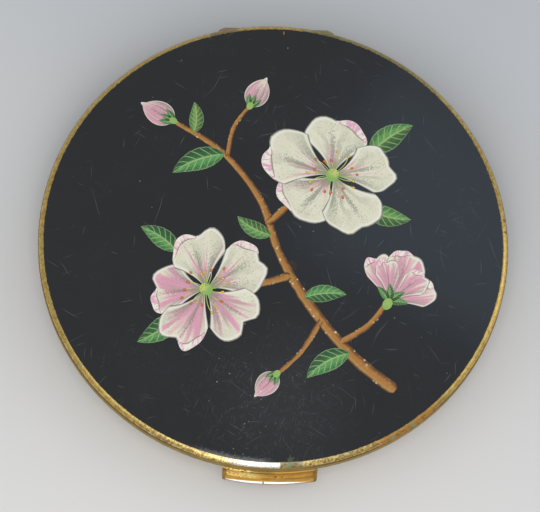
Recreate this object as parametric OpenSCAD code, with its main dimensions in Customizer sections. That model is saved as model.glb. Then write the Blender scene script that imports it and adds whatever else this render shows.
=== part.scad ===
// Round powder compact with a mirror in its lid, a self-opening inner lid over the powder well
// and a push catch at the front. All sizes are in millimetres. The origin is the middle of the
// base's underside. +Z is up, the front with its catch is at -Y and the hinge is at +Y.

/* [Case] */
// Outer diameter of the lid
case_d = 83; // [78:1:96]
// Height from the table to the rim of the lid
case_h = 13.6; // [13.2:0.1:18]
// Height of the lid's side wall, from its lower edge to the rim
lid_wall_h = 2.6; // [2.4:0.1:3.4]
// Thickness of the pressed brass of the lid and the base
sheet = 0.5; // [0.4:0.05:0.6]
// Rise of the middle of the lid above its rim
crown = 0.7; // [0.2:0.1:1.6]
// Width of the rounded gilt rim round the enamel
rim_w = 0.93; // [0.8:0.01:1.3]
// Thickness of the enamel panel
enamel_t = 0.3; // [0.2:0.05:0.4]
// How far the top edge of the base stands in from the lid's outside
base_inset = 0.54; // [0.4:0.02:0.9]
// Radius of the base's rounded side
bowl_r = 12; // [8:0.5:13]
// How much of that rounding is pressed flat underneath
foot_flat = 0.1; // [0.05:0.05:0.4]
// Thickness of the base's floor
floor_t = 0.6; // [0.5:0.05:0.9]

/* [Mirror] */
// Distance from the lid's inner wall to the edge of the mirror glass
mirror_margin = 3.8; // [3.4:0.1:8]
// Thickness of the mirror glass
mirror_t = 1.2; // [1:0.1:1.4]
// Thickness of the card behind the mirror
card_t = 0.3; // [0.2:0.05:0.5]
// Thickness of the ring that holds the mirror
bezel_t = 0.45; // [0.35:0.05:0.6]
// How far that ring reaches over the glass
bezel_lip = 1; // [0.6:0.1:2]

/* [Powder well] */
// Distance from the lid's inner wall to the inside of the powder well
well_margin = 9.5; // [8.8:0.1:14]
// Width of the step that carries the sifter
step_w = 0.9; // [0.6:0.1:1.5]
// Thickness of the well's wall
well_t = 0.4; // [0.3:0.05:0.5]
// Radius of the well's lower corner, inside
well_round_r = 1.6; // [0.5:0.1:2.4]
// Height of the well's floor above the base's floor
well_lift = 0.4; // [0.3:0.05:0.8]
// Thickness of the deck plate round the well
deck_t = 0.5; // [0.4:0.05:0.7]
// Height of the collar on the deck
collar_h = 2; // [1.2:0.1:2.2]
// Thickness of the collar
collar_t = 0.48; // [0.4:0.02:0.6]

/* [Inner lid] */
// How far the inner lid reaches past the well's inside
inner_overlap = 1.7; // [1.2:0.1:1.9]
// Thickness of the inner lid
inner_t = 0.4; // [0.3:0.05:0.5]
// Height of its raised middle
inner_rise = 0.35; // [0.1:0.05:0.45]
// Length of the inner lid's hinge
inner_hinge_len = 12; // [9:0.5:14]
// Radius of its knuckles
inner_knuckle_r = 0.7; // [0.6:0.05:0.72]
// Radius of its pin
inner_pin_r = 0.3; // [0.2:0.05:0.35]
// Width of the finger tab
tab_w = 7; // [5:0.5:9]
// Length of the finger tab
tab_l = 2.2; // [1.6:0.1:2.6]
// Width of each leaf spring under the inner lid
lift_spring_w = 1.8; // [1.2:0.1:2.4]

/* [Main hinge] */
// Length of the hinge
hinge_len = 20.8; // [16:0.2:24]
// Radius of the hinge's knuckles
knuckle_r = 1.1; // [0.95:0.05:1.2]
// Radius of the hinge pin
pin_r = 0.45; // [0.3:0.05:0.55]
// How far the hinge's axis lies inside the lid's outer wall
hinge_in = 1; // [0.9:0.05:1.2]
// Length of the cone at each end of the hinge
taper_l = 1.1; // [0.4:0.1:1.4]
// Thickness of the hinge's leaves
leaf_t = 0.4; // [0.3:0.05:0.45]
// Width of the hinge's leaves
leaf_w = 2.7; // [2:0.1:3]

/* [Thumb catch] */
// Width of the thumb catch
catch_w = 16.5; // [14:0.1:19]
// Height of the thumb catch
catch_h = 2.75; // [2.5:0.05:3.1]
// How far the catch's lower lip stands out from the lid's outer wall
lip_out = 1.5; // [1.3:0.1:2]
// Radius of the lip's rounded edge
lip_r = 0.22; // [0.15:0.01:0.3]
// Radius of the bead along the catch's upper edge
bead_r = 0.33; // [0.25:0.01:0.4]
// Radius of the hollow that the thumb presses
cove_r = 1.6; // [1.5:0.05:2.4]
// Thickness of the catch's shell
catch_t = 0.5; // [0.4:0.05:0.6]
// Thickness of the cheek at each end of the hollow
cheek_t = 0.5; // [0.4:0.05:1]
// Radius of the catch's rounded ends, seen from above
end_r = 0.6; // [0.5:0.05:1.2]
// How far the catch travels when it is pressed
catch_travel = 0.6; // [0.4:0.05:0.7]
// Thickness of the catch's lugs and of the slide riveted under them
slide_t = 0.5; // [0.4:0.05:0.6]
// Width across the two lugs
slide_w = 10.8; // [9:0.2:12]
// Width of the hook
hook_w = 4; // [3:0.2:5]
// Thickness of the hook
hook_t = 0.5; // [0.4:0.05:0.6]
// Length of the hook's nose
nose_l = 0.5; // [0.3:0.05:0.6]
// Radius of the rivets that join the lugs to the slide
rivet_r = 0.5; // [0.3:0.05:0.6]

/* [Catch spring] */
// Thickness of the spring steel
spring_t = 0.2; // [0.12:0.02:0.3]
// Height of the spring steel
spring_h = 0.9; // [0.6:0.1:1.1]
// Radius to which the spring is bowed
spring_bow_r = 26; // [20:1:40]
// Distance between the two posts that the spring rests on
post_gap = 12; // [10:0.5:14]
// Radius of the posts
post_r = 0.5; // [0.4:0.05:0.6]

/* [Sifter and puff] */
// Height of the sifter's ring
sifter_h = 0.8; // [0.6:0.05:1]
// Width of the sifter's ring
sifter_w = 2.3; // [1.8:0.1:4]
// Thickness of the sifter's gauze
gauze_t = 0.15; // [0.1:0.01:0.2]
// Thickness of the powder puff
puff_t = 2.8; // [2:0.1:2.9]
// Width of the ribbon across the puff
ribbon_w = 10; // [6:0.5:14]
// Thickness of that ribbon
ribbon_t = 0.15; // [0.1:0.01:0.2]

/* [Hidden] */
$fn = 160;

GILT = [0.72, 0.60, 0.31];
PALE_GILT = [0.80, 0.70, 0.42];
ENAMEL = [0.07, 0.075, 0.09];
STEEL = [0.70, 0.71, 0.73];
GLASS = [0.78, 0.84, 0.86];
CARD = [0.62, 0.55, 0.45];
VELOUR = [0.90, 0.76, 0.68];
SATIN = [0.86, 0.62, 0.60];

// Clearances and small gaps
over = 1;            // how far a cut runs past the piece that it cuts
weld = 0.1;          // how deep two shapes of one piece run into each other
solder = 0.02;       // a soldered or glued joint between two pieces
seam_gap = 0.1;      // between the lid's lower edge and the base's top edge
running_fit = 0.03;  // radial play of a pin in a knuckle that turns
held_fit = 0.01;     // radial play of a pin in a knuckle that holds it
knuckle_gap = 0.08;  // between neighbouring knuckles
swing_fit = 0.25;    // round the knuckles, in the openings that they turn in
slide_fit = 0.15;    // round the catch and its hook
seat_fit = 0.1;      // round a piece that is laid or dropped into its seat
lid_gap = 0.3;       // between the mirror's ring and the inner lid
inner_gap = 0.25;    // between the inner lid and the deck
puff_gap = 0.3;      // between the ribbon and the inner lid

// Radii of the case and of what its walls carry
case_r = case_d / 2;
rim_r = case_r - rim_w;
wall_r = case_r - sheet;
base_r = case_r - base_inset;
bowl_mid_r = base_r - bowl_r;
bowl_mid_z = bowl_r - foot_flat;
dome_r = (rim_r * rim_r + crown * crown) / (2 * crown);
DOME_STEPS = 12;

// The gilt rim's gently bowed bevel
bevel_r = 2 * rim_w;
bevel_half = asin(rim_w / sqrt(2) / bevel_r);
bevel_in = bevel_r * cos(bevel_half) / sqrt(2);
BEVEL_STEPS = 8;

// Levels of the lid
seam_z = case_h - lid_wall_h;
base_top_z = seam_z - seam_gap;
metal_z = case_h - enamel_t;
under_z = metal_z - sheet;
card_z = under_z - card_t;
glass_z = card_z - mirror_t;
bezel_z = glass_z - bezel_t;

// Mirror
mirror_r = wall_r - mirror_margin;
bezel_in_r = mirror_r - bezel_lip;
bezel_out_r = mirror_r + seat_fit + bezel_t;

// Levels and radii of the inner lid, the deck and the well
inner_z = bezel_z - lid_gap - inner_t;
deck_z = inner_z - inner_gap;
deck_low_z = deck_z - deck_t;
well_r = wall_r - well_margin;
well_low_z = floor_t + well_lift;
well_floor_z = well_low_z + well_t;
inner_r = well_r + inner_overlap;
collar_top_z = deck_z + collar_h;
puff_top_z = inner_z - puff_gap - ribbon_t - solder;
puff_z = puff_top_z - puff_t;
sifter_top_z = puff_z - seat_fit;
step_z = sifter_top_z - sifter_h;

// Main hinge: its axis lies along X
hinge_y = case_r - hinge_in;
swing_r = knuckle_r + swing_fit;
hinge_z = under_z - leaf_t - swing_r - weld / 2;
knuckles = 5;
leaf_half = hinge_len / 2 - taper_l;
base_leaf_z = deck_low_z - solder - leaf_t;
base_leaf_r = bowl_inside(base_leaf_z) - solder;
base_tab_y = sqrt(base_leaf_r ^ 2 - (hinge_len / 2) ^ 2) - 2 * leaf_t;

// Inner lid's hinge: just inside the mirror's ring, so that the glass closes over it
inner_swing_r = inner_knuckle_r + slide_fit;
inner_hinge_half = inner_hinge_len / 2;
inner_reach_r = bezel_in_r - seat_fit - slide_fit;
inner_hinge_y = sqrt(inner_reach_r * inner_reach_r - inner_hinge_half * inner_hinge_half)
    - inner_knuckle_r;
inner_hinge_z = inner_z + inner_t / 2;
inner_knuckles = 3;
bracket_t = inner_gap + inner_t / 10;
bracket_y = inner_hinge_y + inner_swing_r;
bracket_w = base_tab_y - 2 * slide_fit - bracket_y;
bracket_rivet_r = 0.45;
lift_spring_t = 0.1;
lift_spring_in = 1.2;
lift_spring_l = 5.4;

// Thumb catch: its profile is a bead, a hollow that touches it and a lip, in radius and height
catch_top_z = seam_z - slide_fit;
catch_low_z = catch_top_z - catch_h;
collar_r = bowl_inside(deck_low_z) - solder;
catch_back_r = base_r + slide_fit;
bead_at = [catch_back_r + bead_r, catch_top_z - bead_r];
lip_at = [case_r + lip_out - lip_r, catch_low_z + lip_r];
bead_to_lip = norm(lip_at - bead_at);
bead_share = ((cove_r + bead_r) ^ 2 - (cove_r + lip_r) ^ 2 + bead_to_lip ^ 2) / (2 * bead_to_lip ^ 2);
cove_rise = sqrt((cove_r + bead_r) ^ 2 - (bead_share * bead_to_lip) ^ 2) / bead_to_lip;
along = lip_at - bead_at;
cove_at = bead_at + bead_share * along + cove_rise * [-along[1], along[0]];
catch_half = catch_w / 2;
catch_sector = 2 * asin((catch_half + over) / catch_back_r);

// Lugs, slide and hook behind the catch
lug_top_z = deck_low_z - seat_fit - slide_fit;
lug_z = lug_top_z - slide_t;
slide_top_z = lug_z - solder;
slide_z = slide_top_z - slide_t;
slide_front_y = sqrt((bowl_inside(slide_z) - slide_fit) ^ 2 - (slide_w / 2) ^ 2);
hook_front_y = slide_front_y;
hook_back_y = hook_front_y - hook_t;
hook_half = hook_w / 2;
lug_in = hook_half + slide_fit + seat_fit;
lug_end_y = hook_back_y - 1.5 * hook_t;
stop_y = lug_end_y - hook_t;
slide_end_y = stop_y - 2 * hook_t;
stop_half = slide_w / 2 + 2.4 * post_r;
rivet_head = 0.3;
rivet_x = (lug_in + slide_w / 2) / 2;
rivet_y = (hook_back_y + lug_end_y) / 2;
striker_z = seam_z + slide_fit;
striker_in_r = hook_front_y + nose_l + slide_fit;
striker_half = hook_half + seat_fit + slide_fit;
nose_z = striker_z + leaf_t + slide_fit;
hook_top_z = nose_z + nose_l;

// Catch spring, bowed toward the slide between two posts
spring_front_y = slide_end_y - catch_travel - seat_fit;
spring_mid_y = spring_front_y - spring_bow_r;
spring_z = deck_low_z - seat_fit - spring_h;
spring_half = post_gap / 2 + 2 * post_r;
post_y = spring_mid_y + sqrt((spring_bow_r - spring_t - solder) ^ 2 - (post_gap / 2) ^ 2) - post_r;
guide_x = stop_half - post_r;
guide_y = stop_y + post_r + solder;

function dome_z(r, edge_z) = edge_z + sqrt(dome_r ^ 2 - r ^ 2) - (dome_r - crown);
function bowl_inside(z) = bowl_mid_r + sqrt((bowl_r - sheet) ^ 2 - max(0, bowl_mid_z - z) ^ 2);
function knuckle_pitch(len, count) = len / count;
function angle_of(v) = atan2(v[1], v[0]);
function arc(mid, r, from, to, steps) =
    [for (i = [0 : steps]) let (a = from + (to - from) * i / steps) mid + r * [cos(a), sin(a)]];

// A ring or a disc between two heights
module tube(r_out, r_in, z_low, z_high) {
    translate([0, 0, z_low])
        rotate_extrude()
            translate([r_in, 0])
                square([r_out - r_in, z_high - z_low]);
}

module disc(r, z_low, z_high) {
    translate([0, 0, z_low]) cylinder(r = r, h = z_high - z_low);
}

// A block given by its limits
module block(x0, x1, y0, y1, z0, z1) {
    translate([x0, y0, z0]) cube([x1 - x0, y1 - y0, z1 - z0]);
}

// A rod along X through a point of the YZ plane
module rod(r, half_l, y, z) {
    translate([-half_l, y, z]) rotate([0, 90, 0]) cylinder(r = r, h = 2 * half_l);
}

// Every second knuckle of a hinge along X, starting with number first
module knuckle_row(len, count, first, r, y, z) {
    pitch = knuckle_pitch(len, count);
    for (i = [first : 2 : count - 1])
        translate([-len / 2 + (i + 0.5) * pitch, 0, 0])
            rod(r, (pitch - knuckle_gap) / 2, y, z);
}

// A block across every second knuckle, to join them to their leaf
module knuckle_tabs(len, count, first, y0, y1, z0, z1) {
    pitch = knuckle_pitch(len, count);
    for (i = [first : 2 : count - 1])
        translate([-len / 2 + (i + 0.5) * pitch, 0, 0])
            block(-(pitch - knuckle_gap) / 2, (pitch - knuckle_gap) / 2, y0, y1, z0, z1);
}

// The space that the main hinge turns in
module hinge_room() {
    rod(swing_r, hinge_len / 2 + slide_fit, hinge_y, hinge_z);
}

// Half profile of the base's bowl, with its surface moved in by inset
module bowl_profile(inset) {
    translate([bowl_mid_r, bowl_mid_z]) circle(r = bowl_r - inset);
    translate([0, inset - foot_flat]) square([bowl_mid_r, case_h]);
    translate([0, bowl_mid_z]) square([base_r - inset, case_h]);
}

// The space inside the bowl above a height, less the joint that holds a piece to its wall
module bowl_space(z_low) {
    rotate_extrude()
        intersection() {
            bowl_profile(sheet + solder);
            translate([0, z_low]) square([case_r, case_h]);
        }
}

module base_shell() {
    color(GILT)
    difference() {
        rotate_extrude()
            difference() {
                intersection() {
                    bowl_profile(0);
                    square([case_r, base_top_z]);
                }
                intersection() {
                    bowl_profile(sheet);
                    translate([0, floor_t]) square([case_r, case_h]);
                }
            }
        hinge_room();
        catch_window();
    }
}

// Opening in the base's wall: wide for the catch itself, and lower in the middle for its lugs
module catch_window() {
    wide = catch_half + slide_fit;
    narrow = slide_w / 2 + slide_fit;
    block(-wide, wide, -case_r - over, -well_r, cove_at[1] - 2 * bead_r - slide_fit, case_h);
    block(-narrow, narrow, -case_r - over, -well_r, lug_z - slide_fit, case_h);
}

module inner_frame() {
    color(GILT)
    difference() {
        union() {
            tube(collar_r, well_r + well_t + solder, deck_low_z, deck_z);
            tube(collar_r, collar_r - collar_t, deck_z - deck_t / 2, collar_top_z);
        }
        block(-hinge_len / 2 - slide_fit, hinge_len / 2 + slide_fit,
            base_tab_y - slide_fit, case_r, deck_low_z - over, case_h);
        block(-striker_half - slide_fit, striker_half + slide_fit,
            -case_r, -hook_back_y + catch_travel + slide_fit, deck_low_z - over, case_h);
        block(-inner_hinge_half - slide_fit, inner_hinge_half + slide_fit,
            inner_hinge_y - inner_swing_r, inner_hinge_y + inner_swing_r, deck_low_z - over, case_h);
    }
}

// Cup with a rounded foot, a step that carries the sifter and a wall that meets the deck
module powder_well() {
    low_r = well_r - step_w;
    foot_at = [low_r - well_round_r, well_floor_z + well_round_r];
    color(GILT)
    rotate_extrude()
        polygon(concat([[0, well_low_z]],
            arc(foot_at, well_round_r + well_t, -90, 0, 8),
            [[low_r + well_t, step_z - well_t], [well_r + well_t, step_z - well_t],
            [well_r + well_t, deck_z], [well_r, deck_z], [well_r, step_z], [low_r, step_z]],
            arc(foot_at, well_round_r, 0, -90, 8),
            [[0, well_floor_z]]));
}

// A leaf of the main hinge: part of a flat ring that lies along the wall
module hinge_leaf(r_out, z_low) {
    intersection() {
        tube(r_out, r_out - leaf_w, z_low, z_low + leaf_t);
        block(-leaf_half, leaf_half, 0, case_r, z_low - over, z_low + leaf_t + over);
    }
}

module base_hinge_leaf() {
    color(GILT)
    difference() {
        union() {
            hinge_leaf(base_leaf_r, base_leaf_z);
            intersection() {
                knuckle_tabs(hinge_len, knuckles, 0, base_tab_y, hinge_y, base_leaf_z, hinge_z);
                union() {
                    bowl_space(base_leaf_z);
                    rod(knuckle_r, hinge_len, hinge_y, hinge_z);
                }
                block(-leaf_half, leaf_half, 0, case_r, base_leaf_z, case_h);
            }
            intersection() {
                knuckle_row(hinge_len, knuckles, 0, knuckle_r, hinge_y, hinge_z);
                hinge_spindle();
            }
        }
        rod(pin_r + held_fit, hinge_len, hinge_y, hinge_z);
    }
}

// The outline of the whole hinge, with its tapered ends
module hinge_spindle() {
    cone_r = pin_r + (knuckle_r - pin_r) / 5;
    half = hinge_len / 2;
    translate([0, hinge_y, hinge_z])
        rotate([0, 90, 0])
            rotate_extrude()
                polygon([[0, -half], [cone_r, -half], [knuckle_r + weld, -half + 1.2 * taper_l],
                    [knuckle_r + weld, half - 1.2 * taper_l], [cone_r, half], [0, half]]);
}

module hinge_pin() {
    color(STEEL)
        rod(pin_r, hinge_len / 2 - knuckle_gap, hinge_y, hinge_z);
}

module inner_hinge_bracket() {
    color(GILT)
    difference() {
        union() {
            block(-inner_hinge_half, inner_hinge_half, bracket_y, bracket_y + bracket_w,
                deck_z, deck_z + bracket_t);
            knuckle_tabs(inner_hinge_len, inner_knuckles, 0, inner_hinge_y, bracket_y + weld,
                deck_z, deck_z + bracket_t);
            knuckle_row(inner_hinge_len, inner_knuckles, 0, inner_knuckle_r,
                inner_hinge_y, inner_hinge_z);
            for (side = [-1, 1])
                translate([side * (inner_hinge_half - 2 * bracket_rivet_r),
                    bracket_y + bracket_w / 2, deck_z + bracket_t - weld])
                    cylinder(r = bracket_rivet_r, h = 2 * weld);
        }
        rod(inner_pin_r + held_fit, inner_hinge_len, inner_hinge_y, inner_hinge_z);
    }
}

module inner_hinge_pin() {
    color(STEEL)
        rod(inner_pin_r, inner_hinge_half, inner_hinge_y, inner_hinge_z);
}

// Two steel leaves on the deck that push the inner lid up
module inner_lid_springs() {
    near_x = inner_hinge_half + 2 * slide_fit;
    lift_y = sqrt(inner_r ^ 2 - (near_x + lift_spring_w) ^ 2) - lift_spring_in;
    color(STEEL)
    for (side = [-1, 1])
        scale_x(side)
            block(near_x, near_x + lift_spring_w, lift_y, lift_y + lift_spring_l,
                deck_z, deck_z + lift_spring_t);
}

module scale_x(side) {
    if (side < 0) mirror([1, 0, 0]) children();
    else children();
}

module catch_spring() {
    color(STEEL)
    intersection() {
        translate([0, -spring_mid_y, 0])
            tube(spring_bow_r, spring_bow_r - spring_t, spring_z, spring_z + spring_h);
        block(-spring_half, spring_half, -case_r, 0, 0, case_h);
    }
}

// Four posts under the deck: two hold the spring's ends and two stop the slide
module catch_posts() {
    color(GILT)
    for (side = [-1, 1]) {
        translate([side * post_gap / 2, -post_y, spring_z])
            cylinder(r = post_r, h = deck_low_z - spring_z);
        translate([side * guide_x, -guide_y, slide_z])
            cylinder(r = post_r, h = deck_low_z - slide_z);
    }
}

module sifter_frame() {
    out_r = well_r - seat_fit;
    groove_r = out_r - sifter_w + sifter_w / 5;
    mid_z = step_z + sifter_h / 2;
    color(PALE_GILT)
    difference() {
        tube(out_r, out_r - sifter_w, step_z, sifter_top_z);
        disc(groove_r + solder, mid_z - gauze_t / 2 - solder, mid_z + gauze_t / 2 + solder);
    }
}

// Perforated disc held in the groove of the sifter's ring
module sifter_gauze() {
    rings = 6;
    hole_pitch = (well_r - seat_fit - sifter_w) / (rings + 0.5);
    hole_r = hole_pitch / 4;
    color(PALE_GILT)
    translate([0, 0, step_z + sifter_h / 2 - gauze_t / 2])
        linear_extrude(height = gauze_t)
            difference() {
                circle(r = well_r - seat_fit - sifter_w + sifter_w / 5);
                for (ring = [1 : rings])
                    for (i = [0 : 6 * ring - 1])
                        rotate(i * 60 / ring)
                            translate([ring * hole_pitch, 0])
                                circle(r = hole_r);
            }
}

module puff_pad() {
    pad_r = well_r - 3 * seat_fit;
    round_r = puff_t / 3;
    color(VELOUR)
    translate([0, 0, puff_z])
        rotate_extrude()
            union() {
                square([pad_r - round_r, puff_t]);
                translate([0, round_r]) square([pad_r, puff_t - 2 * round_r]);
                translate([pad_r - round_r, round_r]) circle(r = round_r);
                translate([pad_r - round_r, puff_t - round_r]) circle(r = round_r);
            }
}

module puff_ribbon() {
    reach_r = well_r - puff_t;
    color(SATIN)
    intersection() {
        disc(reach_r, puff_top_z + solder, puff_top_z + solder + ribbon_t);
        block(-reach_r, reach_r, -ribbon_w / 2, ribbon_w / 2, puff_z, case_h);
    }
}

module inner_lid() {
    slope = 2 * inner_rise;
    panel_r = well_r - step_w - slope;
    strap_half = knuckle_pitch(inner_hinge_len, inner_knuckles) / 2 - knuckle_gap / 2;
    color(PALE_GILT)
    difference() {
        union() {
            translate([0, 0, inner_z])
                rotate_extrude()
                    polygon([[0, inner_rise], [panel_r, inner_rise], [panel_r + slope, 0],
                        [inner_r, 0], [inner_r, inner_t], [panel_r + slope, inner_t],
                        [panel_r, inner_t + inner_rise], [0, inner_t + inner_rise]]);
            block(-strap_half, strap_half, inner_r - inner_overlap / 2, inner_hinge_y,
                inner_z, inner_z + inner_t);
            knuckle_row(inner_hinge_len, inner_knuckles, 1, inner_knuckle_r,
                inner_hinge_y, inner_hinge_z);
            finger_tab();
        }
        rod(inner_pin_r + running_fit, inner_hinge_len, inner_hinge_y, inner_hinge_z);
    }
}

// Round-ended tab at the inner lid's front edge
module finger_tab() {
    tip_r = tab_w / 4;
    tip_y = -inner_r - tab_l + tip_r;
    translate([0, 0, inner_z])
        linear_extrude(height = inner_t) {
            translate([-tab_w / 2, tip_y]) square([tab_w, -tip_y - inner_r + inner_overlap]);
            translate([-tab_w / 2 + tip_r, tip_y - tip_r]) square([tab_w - 2 * tip_r, tip_r + weld]);
            for (side = [-1, 1])
                translate([side * (tab_w / 2 - tip_r), tip_y]) circle(r = tip_r);
        }
}

// Section of the catch: a bead, a hollow that touches it and a lip, backed by an even shell
module catch_section() {
    to_bead = angle_of(bead_at - cove_at);
    to_lip = angle_of(lip_at - cove_at) + 360;
    polygon(concat([[catch_back_r, catch_top_z]],
        arc(bead_at, bead_r, 90, to_bead - 180, 6),
        arc(cove_at, cove_r, to_bead, to_lip, 10),
        arc(lip_at, lip_r, to_lip - 180, to_lip - 360, 6),
        arc(cove_at, cove_r + catch_t, to_lip, 180, 6),
        [[catch_back_r, cove_at[1]]]));
}

// Section of the cheeks that close the hollow at both ends
module cheek_section() {
    to_lip = angle_of(lip_at - cove_at) + 360;
    polygon(concat([[catch_back_r, catch_top_z]],
        arc(bead_at, bead_r, 90, 30, 3),
        arc(lip_at, lip_r, 30, to_lip - 360, 5),
        [[catch_back_r, cove_at[1] - bead_r]]));
}

// Sweeps a section round the front of the case
module front_sweep() {
    rotate([0, 0, -90 - catch_sector / 2])
        rotate_extrude(angle = catch_sector)
            children();
}

// Outline of the catch from above, with rounded ends
module catch_outline() {
    lip_edge_r = case_r + lip_out;
    corner_x = catch_half - end_r;
    corner_y = sqrt(lip_edge_r ^ 2 - corner_x ^ 2) - end_r;
    translate([-corner_x, -lip_edge_r - over]) square([2 * corner_x, lip_edge_r + over]);
    translate([-catch_half, -corner_y]) square([catch_w, corner_y]);
    for (side = [-1, 1])
        translate([side * corner_x, -corner_y]) circle(r = end_r);
}

module thumb_catch() {
    color(PALE_GILT)
    difference() {
        union() {
            intersection() {
                union() {
                    front_sweep() catch_section();
                    intersection() {
                        front_sweep() cheek_section();
                        cheek_zones();
                    }
                }
                translate([0, 0, catch_low_z - over])
                    linear_extrude(height = catch_h + 2 * over)
                        catch_outline();
            }
            for (side = [-1, 1])
                scale_x(side)
                    intersection() {
                        block(lug_in, slide_w / 2, -case_r, -lug_end_y, lug_z, lug_top_z);
                        disc(catch_back_r + catch_t + weld, lug_z, lug_top_z);
                    }
        }
        rivet_bores();
    }
}

module cheek_zones() {
    for (side = [-1, 1])
        scale_x(side)
            block(catch_half - cheek_t, catch_half, -2 * case_r, 0, 0, case_h);
}

module rivet_bores() {
    for (side = [-1, 1])
        translate([side * rivet_x, -rivet_y, slide_z - over])
            cylinder(r = rivet_r + held_fit, h = case_h);
}

// Plate under the catch's lugs with its stop wings, and the hook that rises through the deck
module catch_slide() {
    color(STEEL)
    difference() {
        union() {
            block(-slide_w / 2, slide_w / 2, -slide_front_y, -stop_y + weld, slide_z, slide_top_z);
            block(-stop_half, stop_half, -stop_y, -slide_end_y, slide_z, slide_top_z);
            block(-hook_half, hook_half, -hook_front_y, -hook_back_y, slide_z, hook_top_z);
            block(-hook_half, hook_half, -hook_front_y - nose_l, -hook_back_y, nose_z, hook_top_z);
        }
        rivet_bores();
    }
}

module catch_rivets() {
    color(STEEL)
    for (side = [-1, 1])
        translate([side * rivet_x, -rivet_y, 0]) {
            disc(rivet_r, slide_z - rivet_head, lug_top_z);
            disc(1.5 * rivet_r, slide_z - rivet_head, slide_z - solder);
        }
}

// Points along the crowned surface that stands at edge_z where it meets the rim, from r0 to r1
function dome(r0, r1, edge_z) =
    [for (i = [0 : DOME_STEPS]) let (r = r0 + (r1 - r0) * i / DOME_STEPS) [r, dome_z(r, edge_z)]];

// Half profile of the lid: a pressed sheet with a seat for the enamel inside a rounded rim
module lid_profile() {
    seat_r = rim_r + solder;
    bevel_mid = [case_r, case_h] - (rim_w / 2 + bevel_in) * [1, 1];
    high_z = case_h + crown + over;
    difference() {
        union() {
            polygon(concat([[0, seam_z], [case_r, seam_z]],
                arc(bevel_mid, bevel_r, 45 - bevel_half, 45 + bevel_half, BEVEL_STEPS)));
            polygon(concat([[0, seam_z], [rim_r, seam_z]], dome(rim_r, 0, metal_z)));
        }
        polygon(concat(dome(0, seat_r, metal_z), [[seat_r, high_z], [0, high_z]]));
        polygon(concat(dome(wall_r, 0, under_z), [[0, seam_z - over], [wall_r, seam_z - over]]));
    }
}

module lid_shell() {
    color(GILT)
    difference() {
        rotate_extrude() lid_profile();
        hinge_room();
    }
}

module enamel_panel() {
    color(ENAMEL)
    rotate_extrude()
        polygon(concat(dome(0, rim_r, case_h), dome(rim_r, 0, metal_z + solder)));
}

module mirror_card() {
    color(CARD) disc(mirror_r, card_z, under_z);
}

module mirror_glass() {
    color(GLASS) disc(mirror_r, glass_z, card_z);
}

module mirror_bezel() {
    color(PALE_GILT)
    rotate_extrude()
        polygon([[bezel_in_r, bezel_z], [bezel_out_r - bezel_t / 2, bezel_z],
            [bezel_out_r, bezel_z + bezel_t / 2], [bezel_out_r, under_z],
            [mirror_r + seat_fit, under_z], [mirror_r + seat_fit, glass_z], [bezel_in_r, glass_z]]);
}

module lid_hinge_leaf() {
    leaf_r = wall_r - solder;
    leaf_z = under_z - leaf_t - solder;
    color(GILT)
    difference() {
        union() {
            hinge_leaf(leaf_r, leaf_z);
            intersection() {
                knuckle_tabs(hinge_len, knuckles, 1, hinge_y - knuckle_r + weld, hinge_y,
                    hinge_z, leaf_z + leaf_t);
                disc(leaf_r, hinge_z, leaf_z + leaf_t);
            }
            knuckle_row(hinge_len, knuckles, 1, knuckle_r, hinge_y, hinge_z);
        }
        rod(pin_r + running_fit, hinge_len, hinge_y, hinge_z);
    }
}

// Angle soldered inside the lid's front wall, for the hook to catch under
module lid_striker() {
    color(GILT)
    intersection() {
        union() {
            tube(wall_r - solder, wall_r - solder - leaf_t, striker_z, under_z - solder);
            tube(wall_r - solder, striker_in_r, striker_z, striker_z + leaf_t);
        }
        block(-striker_half, striker_half, -case_r, 0, 0, case_h);
    }
}

base_shell();
inner_frame();
powder_well();
base_hinge_leaf();
hinge_pin();
inner_hinge_bracket();
inner_hinge_pin();
inner_lid_springs();
catch_spring();
catch_posts();
sifter_frame();
sifter_gauze();
puff_pad();
puff_ribbon();
inner_lid();
thumb_catch();
catch_slide();
catch_rivets();
lid_shell();
enamel_panel();
mirror_card();
mirror_glass();
mirror_bezel();
lid_hinge_leaf();
lid_striker();
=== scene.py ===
"""Looks of a round powder compact: worn gilt brass, black enamel with a generic printed blossom spray, and
the puff, ribbon and gauze inside. Lengths are in millimetres until a mesh, a lamp or the camera is made."""
import functools
import math
import random

import bpy
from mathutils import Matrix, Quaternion, Vector, noise


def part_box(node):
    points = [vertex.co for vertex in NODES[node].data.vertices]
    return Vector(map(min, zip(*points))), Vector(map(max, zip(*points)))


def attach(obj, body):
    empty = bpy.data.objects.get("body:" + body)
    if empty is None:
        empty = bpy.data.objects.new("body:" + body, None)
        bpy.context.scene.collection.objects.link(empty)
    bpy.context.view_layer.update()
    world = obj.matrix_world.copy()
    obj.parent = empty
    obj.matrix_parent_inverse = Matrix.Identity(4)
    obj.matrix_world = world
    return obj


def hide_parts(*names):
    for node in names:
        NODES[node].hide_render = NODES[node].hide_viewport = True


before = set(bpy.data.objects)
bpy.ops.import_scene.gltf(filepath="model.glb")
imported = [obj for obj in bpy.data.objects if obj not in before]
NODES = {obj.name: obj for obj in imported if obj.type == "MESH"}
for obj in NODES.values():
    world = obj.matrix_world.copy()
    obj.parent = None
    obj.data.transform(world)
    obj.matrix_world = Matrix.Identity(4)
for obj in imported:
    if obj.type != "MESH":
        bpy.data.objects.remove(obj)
bpy.context.view_layer.update()
MM = 0.001
TAU = 2 * math.pi

# The case's radius and the enamel's crown, repeated from the part's source
CASE_R = 41.5
EDGE_R = 40.57
EDGE_Z = 13.6
CROWN = 0.7
SPHERE_R = (EDGE_R ** 2 + CROWN ** 2) / (2 * CROWN)

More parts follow.
